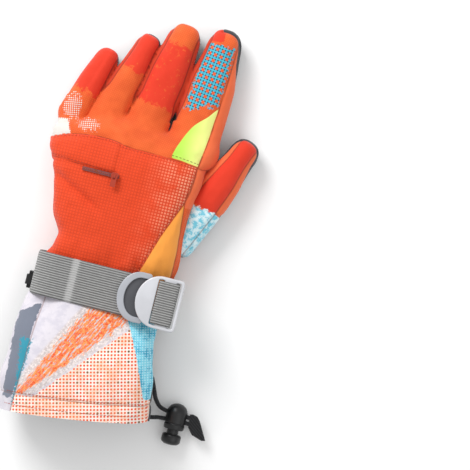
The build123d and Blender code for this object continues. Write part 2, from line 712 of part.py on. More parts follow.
with BuildPart() as cord_tab:
    with BuildSketch(Plane.XY.offset(CORD_Z - TAB_THICK / 2)):
        with BuildLine():
            Polyline(*TAB_OUTLINE, close=True)
        make_face()
    extrude(amount=TAB_THICK)
    for y in CORD_Y:
        with BuildSketch(Plane.YZ.offset(TAB_X - 1)):
            with Locations((y, CORD_Z)):
                Circle(CORD / 2 + 0.05)
        extrude(amount=TAB_SOCKET, mode=Mode.SUBTRACT)
write(cord_tab.part, "cord_tab")
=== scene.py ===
"""Looks of a left-hand ski glove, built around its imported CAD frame. Metres, same frame as the CAD."""
import logging
from dataclasses import dataclass, field
from enum import Enum
from math import cos, pi, radians, sin

import bmesh
import bpy
import numpy as np
import openvdb
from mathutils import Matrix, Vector
from mathutils.bvhtree import BVHTree


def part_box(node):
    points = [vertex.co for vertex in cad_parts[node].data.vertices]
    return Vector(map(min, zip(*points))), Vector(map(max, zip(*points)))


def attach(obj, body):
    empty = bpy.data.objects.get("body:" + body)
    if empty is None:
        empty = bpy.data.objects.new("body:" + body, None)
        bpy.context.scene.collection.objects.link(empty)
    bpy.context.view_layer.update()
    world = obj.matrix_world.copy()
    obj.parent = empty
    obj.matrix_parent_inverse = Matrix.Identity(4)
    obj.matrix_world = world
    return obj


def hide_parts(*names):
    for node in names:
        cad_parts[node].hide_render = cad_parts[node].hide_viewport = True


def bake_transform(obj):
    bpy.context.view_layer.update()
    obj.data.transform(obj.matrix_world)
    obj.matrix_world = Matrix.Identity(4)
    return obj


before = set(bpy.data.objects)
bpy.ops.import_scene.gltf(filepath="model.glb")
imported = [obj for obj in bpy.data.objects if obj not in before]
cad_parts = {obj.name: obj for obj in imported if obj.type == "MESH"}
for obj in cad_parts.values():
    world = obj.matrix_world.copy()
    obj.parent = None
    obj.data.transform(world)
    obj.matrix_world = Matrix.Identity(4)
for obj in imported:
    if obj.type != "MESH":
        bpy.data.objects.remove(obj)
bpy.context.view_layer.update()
MM = 0.001
LOG = logging.getLogger("ski_glove")


# ------------------------------------------------------------------ small helpers
class Body(Enum):
    """The moving bodies that new pieces ride."""

    CORD_LOCK = "cord_lock"
    CUFF = "cuff"
    FRONT_BUCKLE = "front_buckle"
    HAND = "hand"
    LOCK_PLUNGER = "lock_plunger"
    STRAP_SLIDER = "strap_slider"


class Slot(Enum):
    """Names of material slots; no piece built here is given one."""

    BLACK_PLASTIC = "black_plastic"
    CORD = "cord"
    CUFF_PRINT = "cuff_print"
    GREY_PLASTIC = "grey_plastic"
    LINER = "liner"
    MEMBRANE = "membrane"
    PALM_LEATHER = "palm_leather"
    SHELL_BACK = "shell_back"
    WADDING = "wadding"
    WEBBING = "webbing"
    ZIP_METAL = "zip_metal"


def linear(hex_colour: str, alpha: float = 1.0) -> tuple[float, float, float, float]:
    """Turn an sRGB hex colour into linear RGBA.

    Args:
        hex_colour: Six hex digits.
        alpha: Opacity.

    Returns:
        Linear red, green, blue and alpha.
    """
    parts = [int(hex_colour[i:i + 2], 16) / 255 for i in (0, 2, 4)]
    return (*[c / 12.92 if c <= 0.04045 else ((c + 0.055) / 1.055) ** 2.4 for c in parts], alpha)


def through(points: list[tuple[float, float]], x: np.ndarray) -> np.ndarray:
    """Read a smooth curve through points at x, flat outside them.

    Args:
        points: Pairs of x and value, in rising x.
        x: Where to read it.

    Returns:
        The curve's values.
    """
    xs, ys = np.array(points, float).T
    slope = np.gradient(ys, xs)
    x = np.clip(x, xs[0], xs[-1])
    i = np.clip(np.searchsorted(xs, x) - 1, 0, len(xs) - 2)
    step = xs[i + 1] - xs[i]
    t = (x - xs[i]) / step
    a = (2 * t ** 3 - 3 * t ** 2 + 1) * ys[i] + (t ** 3 - 2 * t ** 2 + t) * step * slope[i]
    b = (3 * t ** 2 - 2 * t ** 3) * ys[i + 1] + (t ** 3 - t ** 2) * step * slope[i + 1]
    return a + b


def wrinkle_noise(points: np.ndarray, size: float, seed: int) -> np.ndarray:
    """Give smooth value noise from -1 to 1 at points.

    Args:
        points: Places, one row each.
        size: Size of one bump, in the unit of the points.
        seed: Picks the pattern.

    Returns:
        One value for each point.
    """
    table = np.random.default_rng(seed).random(4096) * 2 - 1
    p = points / size
    base = np.floor(p).astype(int)
    t = p - base
    t = t * t * (3 - 2 * t)
    total = np.zeros(len(points))
    for corner in range(8):
        offset = np.array([corner & 1, corner >> 1 & 1, corner >> 2 & 1])
        cell = base + offset
        key = (cell[:, 0] * 73 + cell[:, 1] * 179 + cell[:, 2] * 283) % 4096
        weight = np.prod(np.where(offset == 1, t, 1 - t), axis=1)
        total += table[key] * weight
    return total


def soft_step(value: np.ndarray, low: float, high: float) -> np.ndarray:
    """Rise smoothly from 0 at low to 1 at high."""
    t = np.clip((value - low) / (high - low), 0, 1)
    return t * t * (3 - 2 * t)


def make_mesh(name: str, points: np.ndarray, faces: list, smooth: bool = True) -> bpy.types.Object:
    """Link a mesh object at the origin.

    Args:
        name: Name of the piece.
        points: Vertices in millimetres.
        faces: Vertex numbers of each face.
        smooth: Whether faces are shaded smooth.

    Returns:
        The new object.
    """
    mesh = bpy.data.meshes.new(name)
    mesh.from_pydata((np.asarray(points) * MM).tolist(), [], [tuple(int(i) for i in f) for f in faces])
    mesh.validate()
    mesh.polygons.foreach_set("use_smooth", [smooth] * len(mesh.polygons))
    mesh.update()
    piece = bpy.data.objects.new(name, mesh)
    bpy.context.scene.collection.objects.link(piece)
    return piece


def store(piece: bpy.types.Object, values: dict[str, np.ndarray]) -> None:
    """Store float or vector attributes on a piece's points.

    Args:
        piece: The piece.
        values: Attribute names and their values, one row for each point.
    """
    for name, value in values.items():
        kind, key = ("FLOAT", "value") if value.ndim == 1 else ("FLOAT_VECTOR", "vector")
        attribute = piece.data.attributes.new(name, kind, "POINT")
        attribute.data.foreach_set(key, np.ascontiguousarray(value, np.float32).ravel())


def grid_faces(rows: int, columns: int, wrap: bool) -> list[tuple[int, int, int, int]]:
    """List the quads of a grid of points, row by row.

    Args:
        rows: Number of rows.
        columns: Number of points in a row.
        wrap: Whether each row closes on itself.

    Returns:
        The quads.
    """
    last = columns if wrap else columns - 1
    return [
        (r * columns + c, r * columns + (c + 1) % columns,
         (r + 1) * columns + (c + 1) % columns, (r + 1) * columns + c)
        for r in range(rows - 1) for c in range(last)
    ]


def outward(piece: bpy.types.Object) -> None:
    """Turn a piece's faces outwards."""
    work = bmesh.new()
    work.from_mesh(piece.data)
    bmesh.ops.remove_doubles(work, verts=work.verts, dist=1e-6)
    bmesh.ops.recalc_face_normals(work, faces=work.faces)
    work.to_mesh(piece.data)
    work.free()


def bake_modifiers(piece: bpy.types.Object) -> None:
    """Replace a piece's mesh by its evaluated mesh and remove its modifiers."""
    depsgraph = bpy.context.evaluated_depsgraph_get()
    mesh = bpy.data.meshes.new_from_object(piece.evaluated_get(depsgraph))
    piece.modifiers.clear()
    piece.data = mesh


def dress(piece: bpy.types.Object, material: bpy.types.Material) -> None:
    """Give a piece one material."""
    piece.data.materials.clear()
    piece.data.materials.append(material)


# ------------------------------------------------------------------ materials
class Tree:
    """A material's node tree while it is being written."""

    def __init__(self, name: str) -> None:
        """Start an empty material called name."""
        self.material = bpy.data.materials.new(name)
        self.material.use_nodes = True
        self.nodes = self.material.node_tree.nodes
        self.links = self.material.node_tree.links
        self.nodes.clear()

    def add(self, kind: str, *values: object, out: int | str = 0, named: dict | None = None,
            **settings: object) -> bpy.types.NodeSocket:
        """Add a node with its settings, values and links.

        Args:
            kind: Node type after the words ShaderNode.
            values: Sockets to link or values to set, for the inputs in order.
            out: Number or name of the output to return.
            named: Inputs by name or number.
            settings: Properties of the node.

        Returns:
            The chosen output.
        """
        node = self.nodes.new("ShaderNode" + kind)
        for key, value in settings.items():
            setattr(node, key, value)
        for key, value in [*enumerate(values), *(named or {}).items()]:
            if isinstance(value, bpy.types.NodeSocket):
                self.links.new(value, node.inputs[key])
            elif value is not None:
                node.inputs[key].default_value = value
        return node.outputs[out] if len(node.outputs) else None


def place(tree: Tree, scale: float = 1000.0) -> bpy.types.NodeSocket:
    """Give the resting place of the surface in millimetres, or in scaled units."""
    rest = tree.add("Attribute", out="Vector", attribute_name="rest")
    return tree.add("VectorMath", rest, (scale, scale, scale), operation="MULTIPLY")


def blend_colour(tree: Tree, factor: object, first: object, second: object) -> bpy.types.NodeSocket:
    """Mix two colours or colour sockets by a factor."""
    named = {0: factor, 6: first, 7: second}
    return tree.add("Mix", out=2, named=named, data_type="RGBA")


def mask(tree: Tree, value: bpy.types.NodeSocket, low: float, high: float) -> bpy.types.NodeSocket:
    """Rise smoothly from 0 to 1 as value goes from low to high."""
    return tree.add("MapRange", value, low, high, 0.0, 1.0, interpolation_type="SMOOTHSTEP")


def dots(tree: Tree, where: bpy.types.NodeSocket, pitch: float, radius: float,
         turn: float = 0.0) -> bpy.types.NodeSocket:
    """Give a mask of round dots on a square grid.

    Args:
        tree: Tree to write in.
        where: Place in millimetres.
        pitch: Grid pitch in millimetres.
        radius: Radius of a dot in millimetres.
        turn: Turn of the grid in degrees.

    Returns:
        1 inside dots, 0 outside.
    """
    turned = tree.add("VectorRotate", where, named={"Angle": radians(turn)}, rotation_type="Z_AXIS")
    cells = tree.add("VectorMath", turned, (1 / pitch, 1 / pitch, 0), operation="MULTIPLY")
    cell = tree.add("VectorMath", cells, operation="FRACTION")
    offset = tree.add("VectorMath", cell, (0.5, 0.5, 0), operation="SUBTRACT")
    distance = tree.add("VectorMath", offset, out="Value", operation="LENGTH")
    edge = radius / pitch
    return mask(tree, distance, edge * 1.15, edge * 0.85)


def squares(tree: Tree, where: bpy.types.NodeSocket, pitch: float, line: float) -> bpy.types.NodeSocket:
    """Give a mask that is 1 on the lines of a square grid of a pitch and line width in millimetres."""
    cells = tree.add("VectorMath", where, (1 / pitch, 1 / pitch, 0), operation="MULTIPLY")
    cell = tree.add("VectorMath", cells, operation="FRACTION")
    offset = tree.add("VectorMath", cell, (0.5, 0.5, 0), operation="SUBTRACT")
    size = tree.add("VectorMath", offset, operation="ABSOLUTE")
    split = tree.add("SeparateXYZ", size)
    both = tree.add("Math", split, split.node.outputs[1], operation="MAXIMUM")
    edge = 0.5 - line / pitch / 2
    return mask(tree, both, edge - 0.08, edge + 0.08)


def cloth_surface(tree: Tree, colour: bpy.types.NodeSocket, height: bpy.types.NodeSocket, depth: float,
                  roughness: float, sheen: float) -> bpy.types.Material:
    """End a tree in a woven surface.

    Args:
        tree: Tree to end.
        colour: Surface colour.
        height: Relief from 0 to 1.
        depth: Height of the relief in metres.
        roughness: Surface roughness.
        sheen: Strength of the cloth's sheen.

    Returns:
        The finished material.
    """
    normal = tree.add("Bump", named={"Strength": 0.55, "Distance": depth, "Height": height})
    named = {"Base Color": colour, "Roughness": roughness, "Sheen Weight": sheen, "Normal": normal,
             "Sheen Roughness": 0.5, "Specular IOR Level": 0.3}
    shader = tree.add("BsdfPrincipled", named=named)
    tree.add("OutputMaterial", shader)
    return tree.material


def weave(tree: Tree, where: bpy.types.NodeSocket, thread: float) -> bpy.types.NodeSocket:
    """Give the relief of a plain weave with a thread spacing in millimetres."""
    warp = tree.add("TexWave", where, 1 / thread * 0.5, wave_type="BANDS", bands_direction="X")
    weft = tree.add("TexWave", where, 1 / thread * 0.5, wave_type="BANDS", bands_direction="Y")
    return tree.add("Math", warp.node.outputs[1], weft.node.outputs[1], operation="MULTIPLY")


@dataclass(frozen=True)
class PrintedShell:
    """Printed polyester shell cloth of the hand: dull, tightly woven, with a dye-printed pattern."""

    orange: str = "E05A24"
    deep_orange: str = "D44E1C"
    red: str = "D93418"
    gusset: str = "C93A18"
    side: str = "E86A3C"
    pocket: str = "E24414"
    pocket_light: str = "F49A78"
    lime: str = "B4E452"
    pale_lime: str = "EEF58E"
    cyan: str = "45AFC6"
    ink: str = "1B4C5E"
    amber: str = "EE9A3E"
    white: str = "D6D2CC"
    leather: str = "2C2D31"
    ripstop_mm: float = 2.1
    thread_mm: float = 0.7

    def material(self) -> bpy.types.Material:
        """Write the material.

        Returns:
            The printed cloth.
        """
        t = Tree("printed_shell_cloth")
        where = place(t)
        noise = t.add("TexNoise", where, named={"Scale": 0.09, "Detail": 4.0})
        blotch = t.add("TexNoise", where, named={"Scale": 0.35, "Detail": 5.0, "Roughness": 0.65})
        colour = blend_colour(t, mask(t, noise, 0.35, 0.65), linear(self.orange), linear(self.deep_orange))
        fine = dots(t, where, 1.3, 0.38, 12)
        colour = blend_colour(t, t.add("Math", fine, 0.22, operation="MULTIPLY"), colour, linear(self.amber))
        zone = {
            name: t.add("Attribute", out="Fac", attribute_name=name)
            for name in ("palm", "gusset", "pocket", "lime", "cyan", "red", "white", "amber", "seam", "ice")
        }
        red = t.add("Math", zone["red"], t.add("Math", blotch, 0.5, operation="SUBTRACT"), operation="ADD")
        colour = blend_colour(t, mask(t, red, 0.42, 0.56), colour, linear(self.red))
        amber = t.add("Math", zone["amber"], 0.0, operation="ADD")
        colour = blend_colour(t, mask(t, amber, -0.3, 0.3), colour, linear(self.amber))
        speckle = dots(t, where, 1.45, 0.5, -10)
        fleck = t.add("Math", speckle, t.add("Math", blotch, 0.9, operation="MULTIPLY"), operation="MULTIPLY")
        white = t.add("Math", zone["white"], fleck, operation="ADD")
        colour = blend_colour(t, mask(t, white, 0.86, 0.93), colour, linear(self.white))
        # halftone patch: cyan ground, large orange dots and small ink dots
        patch = t.add("Math", zone["cyan"], t.add("Math", blotch, 14.0, operation="MULTIPLY"),
                      operation="ADD")
        inside = mask(t, patch, 7.4, 7.9)
        ground = blend_colour(t, dots(t, where, 2.1, 0.62, 8), linear(self.cyan), linear(self.ink))
        ground = blend_colour(t, dots(t, where, 4.2, 1.15, 8), ground, linear(self.orange))
        colour = blend_colour(t, inside, colour, ground)
        lime = blend_colour(t, mask(t, t.add("SeparateXYZ", where), 26.0, 44.0), linear(self.lime),
                            linear(self.pale_lime))
        colour = blend_colour(t, mask(t, zone["lime"], -0.15, 0.15), colour, lime)
        frost = blend_colour(t, mask(t, blotch, 0.4, 0.6), linear("6FC6DC"), linear("D9EEF2"))
        ice = t.add("Math", zone["ice"], t.add("Math", blotch, 8.0, operation="MULTIPLY"), operation="ADD")
        colour = blend_colour(t, mask(t, ice, 3.0, 4.0), colour, frost)
        # ripstop pocket, lighter squares towards the thumb
        lines = squares(t, where, self.ripstop_mm, 0.75)
        across = mask(t, t.add("SeparateXYZ", where), 5.0, 42.0)
        light = t.add("Math", across, t.add("Math", 1.0, lines, operation="SUBTRACT"), operation="MULTIPLY")
        light = t.add("Math", light, mask(t, noise, 0.3, 0.6), operation="MULTIPLY")
        cloth = blend_colour(t, light, linear(self.pocket), linear(self.pocket_light))
        dark = t.add("Math", lines, 0.3, operation="MULTIPLY")
        cloth = blend_colour(t, dark, cloth, linear("9E2408"))
        in_pocket = mask(t, zone["pocket"], -0.15, 0.15)
        colour = blend_colour(t, in_pocket, colour, cloth)
        in_gusset = mask(t, zone["gusset"], -0.15, 0.15)
        side = blend_colour(t, mask(t, t.add("SeparateXYZ", where), 30.0, 44.0), linear(self.gusset),
                            linear(self.side))
        colour = blend_colour(t, in_gusset, colour, side)
        in_palm = mask(t, zone["palm"], -0.15, 0.15)
        grain = t.add("TexVoronoi", where, named={"Scale": 0.8})
        hide = blend_colour(t, grain, linear(self.leather), linear("3A3B40"))
        colour = blend_colour(t, in_palm, colour, hide)
        # painted shade: the colour darkens along the sunk seams and in the dark line under the pocket flap's
        # lower edge
        seam_shade = mask(t, zone["seam"], 0.75, 0.15)
        colour = blend_colour(t, t.add("Math", seam_shade, 0.55, operation="MULTIPLY"), colour, linear("5A1206"))
        relief = weave(t, where, self.thread_mm)
        ridge = t.add("Math", lines, in_pocket, operation="MULTIPLY")
        relief = t.add("Math", relief, t.add("Math", ridge, 1.6, operation="MULTIPLY"), operation="ADD")
        relief = t.add("Mix", in_palm, named={2: relief, 3: grain}, data_type="FLOAT")
        return cloth_surface(t, colour, relief, 0.00018, 0.72, 0.12)


@dataclass(frozen=True)
class PrintedCuff:
    """Printed polyester of the gauntlet: pale ground, brushed paint marks and halftone dots."""

    lavender: str = "C6C2CC"
    slate: str = "6E7482"
    teal: str = "2E8BA0"
    paint: str = "E04A1C"
    paint_light: str = "F29A5A"
    paper: str = "F1E6DE"
    cyan: str = "7FD2E6"
    deep_cyan: str = "1E9CC0"
    thread_mm: float = 0.7

    def material(self) -> bpy.types.Material:
        """Write the material.

        Returns:
            The printed cuff cloth.
        """
        t = Tree("printed_cuff_cloth")
        where = place(t)
        zone = {
            name: t.add("Attribute", out="Fac", attribute_name=name)
            for name in ("strokes", "halftone", "cyan", "slate", "teal", "hem", "seam", "palm")
        }
        coarse = t.add("TexNoise", where, named={"Scale": 0.12, "Detail": 6.0, "Roughness": 0.7})
        fine = t.add("TexNoise", where, named={"Scale": 0.55, "Detail": 6.0, "Roughness": 0.75})
        leaning = t.add("VectorRotate", where, named={"Angle": radians(28)}, rotation_type="Z_AXIS")
        stretched = t.add("VectorMath", leaning, (0.8, 0.1, 0.3), operation="MULTIPLY")
        bristle = t.add("TexNoise", stretched, named={"Scale": 1.0, "Detail": 5.0, "Roughness": 0.6})
        colour = blend_colour(t, mask(t, coarse, 0.4, 0.6), linear(self.lavender), linear("D4CFD6"))
        slate = t.add("Math", zone["slate"], t.add("Math", coarse, 7.0, operation="MULTIPLY"),
                      operation="ADD")
        colour = blend_colour(t, mask(t, slate, 3.2, 3.5), colour, linear(self.slate))
        teal = t.add("Math", zone["teal"], t.add("Math", fine, 14.0, operation="MULTIPLY"), operation="ADD")
        colour = blend_colour(t, mask(t, teal, 7.6, 8.2), colour, linear(self.teal))
        # halftone field
        field_colour = blend_colour(t, dots(t, where, 2.3, 0.74, -14), linear(self.paper), linear(self.paint))
        small = dots(t, where, 6.9, 0.8, -14)
        field_colour = blend_colour(t, small, field_colour, linear("6B5638"))
        warm = mask(t, coarse, 0.38, 0.62)
        field_colour = blend_colour(t, t.add("Math", warm, 0.42, operation="MULTIPLY"), field_colour,
                                    linear(self.paint_light))
        half = t.add("Math", zone["halftone"], t.add("Math", fine, 7.0, operation="MULTIPLY"),
                     operation="ADD")
        colour = blend_colour(t, mask(t, half, 3.2, 3.8), colour, field_colour)
        # brushed marks
        paint = blend_colour(t, mask(t, fine, 0.42, 0.6), linear(self.paint), linear(self.paint_light))
        stroke = t.add("Math", bristle, t.add("Math", fine, 0.7, operation="MULTIPLY"), operation="ADD")
        inner = t.add("MapRange", zone["strokes"], -2.0, 9.0, -0.4, 0.13)
        stroke = t.add("Math", stroke, inner, operation="ADD")
        speck = blend_colour(t, mask(t, fine, 0.5, 0.52), linear("B9A89E"), linear("E9DCD4"))
        under = t.add("Math", mask(t, zone["strokes"], 0.0, 2.5), 0.6, operation="MULTIPLY")
        colour = blend_colour(t, under, colour, speck)
        colour = blend_colour(t, mask(t, stroke, 0.88, 0.95), colour, paint)
        wash = blend_colour(t, mask(t, coarse, 0.45, 0.6), linear(self.cyan), linear(self.deep_cyan))
        wash = blend_colour(t, t.add("Math", dots(t, where, 1.7, 0.5, -14), 0.5, operation="MULTIPLY"), wash,
                            linear("D8F2F6"))
        cyan = t.add("Math", zone["cyan"], t.add("Math", fine, 3.0, operation="MULTIPLY"), operation="ADD")
        colour = blend_colour(t, mask(t, cyan, 1.4, 1.8), colour, wash)
        in_palm = mask(t, zone["palm"], -0.15, 0.15)
        colour = blend_colour(t, in_palm, colour, linear("3A3B40"))
        # painted shade: the colour darkens along the cuff's sunk seams
        seam_shade = mask(t, zone["seam"], 0.75, 0.15)
        colour = blend_colour(t, t.add("Math", seam_shade, 0.5, operation="MULTIPLY"), colour, linear("7A4630"))
        relief = weave(t, where, self.thread_mm)
        return cloth_surface(t, colour, relief, 0.00012, 0.7, 0.12)


@dataclass(frozen=True)
class Webbing:
    """Ribbed polyester webbing: dull, with raised ribs along it and a twill across them, painted shade in the
    grooves and a painted sheen band.
    """

    colour: str
    light: str
    name: str
    rib_mm: float = 2.6
    pick_mm: float = 1.25

    def material(self) -> bpy.types.Material:
        """Write the material.

        Returns:
            The webbing, patterned by its along and across attributes.
        """
        t = Tree(self.name)
        along = t.add("Attribute", out="Fac", attribute_name="along")
        across = t.add("Attribute", out="Fac", attribute_name="across")
        where = t.add("CombineXYZ", along, across, 0.0)
        ribs = t.add("TexWave", where, 0.5 / self.rib_mm, wave_type="BANDS", bands_direction="Y")
        shear = t.add("Math", along, t.add("Math", across, 0.35, operation="MULTIPLY"), operation="ADD")
        sheared = t.add("CombineXYZ", shear, across, 0.0)
        picks = t.add("TexWave", sheared, 0.5 / self.pick_mm, wave_type="BANDS", bands_direction="X")
        relief = t.add("Math", ribs.node.outputs[1], picks.node.outputs[1], operation="MULTIPLY")
        noise = t.add("TexNoise", where, named={"Scale": 0.4, "Detail": 3.0})
        # painted shade: the raised ribs and picks are painted lighter than the grooves between them
        tone = t.add("Math", relief, t.add("Math", noise, 0.35, operation="MULTIPLY"), operation="ADD")
        tone = t.add("Math", tone, t.add("Math", ribs.node.outputs[1], 0.35, operation="MULTIPLY"),
                     operation="ADD")
        # painted sheen: a narrow band of the strap near x = -22 mm is painted lighter
        fold = t.add("Attribute", out="Fac", attribute_name="fold")
        tone = t.add("Math", tone, t.add("Math", fold, 0.6, operation="MULTIPLY"), operation="ADD")
        colour = blend_colour(t, mask(t, tone, 0.2, 1.1), linear(self.colour), linear(self.light))
        ridged = t.add("Math", relief, ribs.node.outputs[1], operation="ADD")
        return cloth_surface(t, colour, ridged, 0.0006, 0.62, 0.15)


@dataclass(frozen=True)
class Moulded:
    """Injection-moulded plastic: even colour, faint mould texture and a soft gloss."""

    name: str
    colour: str
    roughness: float
    coat: float = 0.0

    def material(self) -> bpy.types.Material:
        """Write the material.

        Returns:
            The plastic.
        """
        t = Tree(self.name)
        where = t.add("TexCoord", out="Object")
        speck = t.add("TexNoise", where, named={"Scale": 900.0, "Detail": 3.0})
        broad = t.add("TexNoise", where, named={"Scale": 45.0, "Detail": 2.0})
        shade = tuple(c * 0.86 for c in linear(self.colour)[:3]) + (1.0,)
        colour = blend_colour(t, mask(t, broad, 0.3, 0.7), shade, linear(self.colour))
        rough = t.add("MapRange", broad, 0.3, 0.7, self.roughness * 0.85, self.roughness * 1.15)
        normal = t.add("Bump", named={"Strength": 0.12, "Distance": 0.0001, "Height": speck})
        named = {"Base Color": colour, "Roughness": rough, "Normal": normal, "Coat Weight": self.coat,
                 "Coat Roughness": 0.15, "IOR": 1.48}
        t.add("OutputMaterial", t.add("BsdfPrincipled", named=named))
        return t.material


@dataclass(frozen=True)
class Fleece:
    """Brushed lining: matt, soft and slightly uneven."""

    name: str
    colour: str
    light: str

    def material(self) -> bpy.types.Material:
        """Write the material.

        Returns:
            The lining.
        """
        t = Tree(self.name)
        where = t.add("TexCoord", out="Object")
        nap = t.add("TexNoise", where, named={"Scale": 700.0, "Detail": 6.0, "Roughness": 0.7})
        colour = blend_colour(t, mask(t, nap, 0.3, 0.7), linear(self.colour), linear(self.light))
        return cloth_surface(t, colour, nap, 0.0006, 0.92, 0.35)


@dataclass(frozen=True)
class Braid:
    """Braided elastic cord: crossed strands at a slant, slightly shiny, with painted highlights on the raised
    strands.
    """

    name: str = "black_braid"
    colour: str = "0E0E10"
    light: str = "2A2A2E"
    strand_mm: float = 0.9

    def material(self) -> bpy.types.Material:
        """Write the material.

        Returns:
            The braid, patterned by its along and round attributes.
        """
        t = Tree(self.name)
        along = t.add("Attribute", out="Fac", attribute_name="along")
        around = t.add("Attribute", out="Fac", attribute_name="across")
        plus = t.add("CombineXYZ", t.add("Math", along, around, operation="ADD"), 0.0, 0.0)
        minus = t.add("CombineXYZ", t.add("Math", along, around, operation="SUBTRACT"), 0.0, 0.0)
        one = t.add("TexWave", plus, 0.5 / self.strand_mm, wave_type="BANDS", bands_direction="X")
        two = t.add("TexWave", minus, 0.5 / self.strand_mm, wave_type="BANDS", bands_direction="X")
        relief = t.add("Math", one.node.outputs[1], two.node.outputs[1], operation="MAXIMUM")
        # painted highlight: the raised strands are painted lighter than the gaps between them
        colour = blend_colour(t, relief, linear(self.colour), linear(self.light))
        return cloth_surface(t, colour, relief, 0.0004, 0.5, 0.1)


# ------------------------------------------------------------------ glove skin
@dataclass
class Finger:
    """One finger's axis and sizes, in millimetres."""

    name: str
    x: float
    y: float
    angle: float
    middle: float
    length: float
    widths: tuple[float, float, float]
    thick: float
    low: float = 1.3
    root: float = -24.0

    def local(self, points: np.ndarray) -> tuple[np.ndarray, np.ndarray, np.ndarray]:
        """Give distance along, distance to the right and height above the axis.

        Args:
            points: Places in millimetres.

        Returns:
            The three distances.
        """
        ahead = np.array([sin(radians(self.angle)), cos(radians(self.angle))])
        right = np.array([ahead[1], -ahead[0]])
        flat = points[:, :2] - (self.x, self.y)
        return flat @ ahead, flat @ right, points[:, 2] - self.low - self.thick / 2

    def half_width(self, s: np.ndarray) -> np.ndarray:
        """Give half the finger's width at a distance along it."""
        knuckle, middle, tip = self.widths
        stations = [(-30, knuckle), (0, knuckle), (self.middle, middle), (self.length * 0.86, tip),
                    (self.length, tip)]
        return through(stations, s) / 2

    def distance(self, points: np.ndarray) -> np.ndarray:
        """Give the signed distance to the finger's surface.

        Args:
            points: Places in millimetres.

        Returns:
            Distances, negative inside.
        """
        s, side, up = self.local(points)
        wide = self.half_width(s)
        tall = self.thick / 2 * (1 - 0.16 * soft_step(s, self.length * 0.55, self.length))
        round_end = self.widths[2] * 0.62
        past = np.maximum(s - (self.length - round_end), 0) / round_end
        before = np.maximum(self.root + 10 - s, 0) / 10
        q = (np.abs(side / wide) ** 2.5 + np.abs(up / tall) ** 2.5 + past ** 2.5 + before ** 2.5) ** 0.4
        return (q - 1) * np.minimum(wide, tall)


def smooth_min(a: np.ndarray, b: np.ndarray, k: float) -> np.ndarray:
    """Join two distance fields with a fillet of about k."""
    h = np.clip(0.5 + 0.5 * (b - a) / k, 0, 1)
    return b * (1 - h) + a * h - k * h * (1 - h)


FINGERS = [
    Finger("little", -49.3, 58.5, 17.5, 22.0, 46.5, (20.5, 20.0, 17.0), 20.6, root=-14.0),
    Finger("ring", -26.3, 61.0, 15.5, 29.5, 60.5, (25.0, 22.0, 18.0), 22.8),
    Finger("middle", 1.0, 61.0, 9.8, 36.0, 72.0, (29.5, 29.4, 24.0), 24.4),
    Finger("index", 35.3, 60.0, 3.5, 36.5, 75.0, (34.5, 32.4, 23.5), 24.4),
]
THUMB = Finger("thumb", 35.0, -30.0, 23.0, 69.0, 101.5, (24.0, 25.0, 20.0), 24.4, root=6.0)

HAND_END = [(-60, 50), (-39, 51), (-26, 56), (-14, 58), (2, 56), (15.5, 54), (30, 56), (50, 56)]
HAND_LEFT = [(-70, -46), (-46, -45), (-38, -41), (-30, -39.5), (-17, -46.5), (-1, -49.5), (17, -55.5),
             (32, -60.5), (47, -60.5), (58, -60), (70, -58)]
HAND_RIGHT = [(-70, 43), (-46, 43), (-30, 45), (-10, 43.5), (10, 44.5), (26, 47), (46, 48.5), (58, 51.5),
              (70, 53)]
HAND_TOP = [(-70, 37.5), (-46, 38.5), (-38, 40.5), (-20, 42.0), (10, 42.0), (30, 39.8), (45, 34.5),
            (58, 29.0),
            (70, 25.5)]
HAND_LOW = [(-70, 4.0), (-46, 3.8), (-38, 2.5), (-30, 1.6), (-15, 1.3), (20, 1.3), (70, 1.3)]
POCKET_TOP = [(-62, 34), (-50, 38.6), (-35, 41), (-18, 41.6), (-9, 39.6), (10, 39.2), (30, 38.2), (46, 36.4)]
POCKET_RIGHT = [(-46, 19.5), (-30, 24.5), (-12, 30.5), (0, 35.5), (12, 40), (37, 43), (46, 43.5)]
THUMB_SEAM = [(-46, 43), (-20, 42.5), (-8, 41.5), (12, 40.2), (37, 43.2), (60, 45.6), (79, 47.2),
              (97, 48.4), (130, 50)]
LIME_EDGE = [(37, 23.0), (41, 23.4), (52, 27), (66, 34), (72, 40), (80, 46.5), (90, 60)]


def hand_distance(points: np.ndarray) -> np.ndarray:
    """Give the signed distance to the palm and back of the hand."""
    x, y, z = points.T
    left, right = through(HAND_LEFT, y), through(HAND_RIGHT, y)
    top, low = through(HAND_TOP, y), through(HAND_LOW, y)
    wide, tall = (right - left) / 2, (top - low) / 2
    side = (x - (left + right) / 2) / wide
    up = (z - (top + low) / 2) / tall
    end = through(HAND_END, x)
    past = np.maximum(y - end + 13, 0) / 13
    q = (np.abs(side) ** 3.5 + np.abs(up) ** 3.2 + past ** 3) ** (1 / 3.2)
    return (q - 1) * np.minimum(wide, tall)


def mesh_of(field_of: object, low: tuple, high: tuple, voxel: float) -> tuple[np.ndarray, np.ndarray]:
    """Turn a distance field into quads.

    Args:
        field_of: Function from places to signed distances.
        low: Lowest corner of the sampled box, in millimetres.
        high: Highest corner.
        voxel: Sampling step.

    Returns:
        Points and quads, with the quads facing outwards.
    """
    axes = [np.arange(a, b, voxel) for a, b in zip(low, high)]
    cube = np.stack(np.meshgrid(*axes, indexing="ij"), -1)
    values = field_of(cube.reshape(-1, 3)).reshape(cube.shape[:3])
    volume = openvdb.FloatGrid(background=50.0)
    volume.copyFromArray(np.ascontiguousarray(values, np.float32))
    points, quads = volume.convertToQuads(0.0)
    points = points * voxel + low
    centre = points[quads].mean(1)
    a, b, c, d = (points[quads[:, i]] for i in range(4))
    normal = np.cross(c - a, d - b)
    normal /= np.linalg.norm(normal, axis=1)[:, None] + 1e-9
    outside = field_of(centre + normal * 0.5) - field_of(centre - normal * 0.5)
    if outside.mean() < 0:
        quads = quads[:, ::-1]
    return points, quads


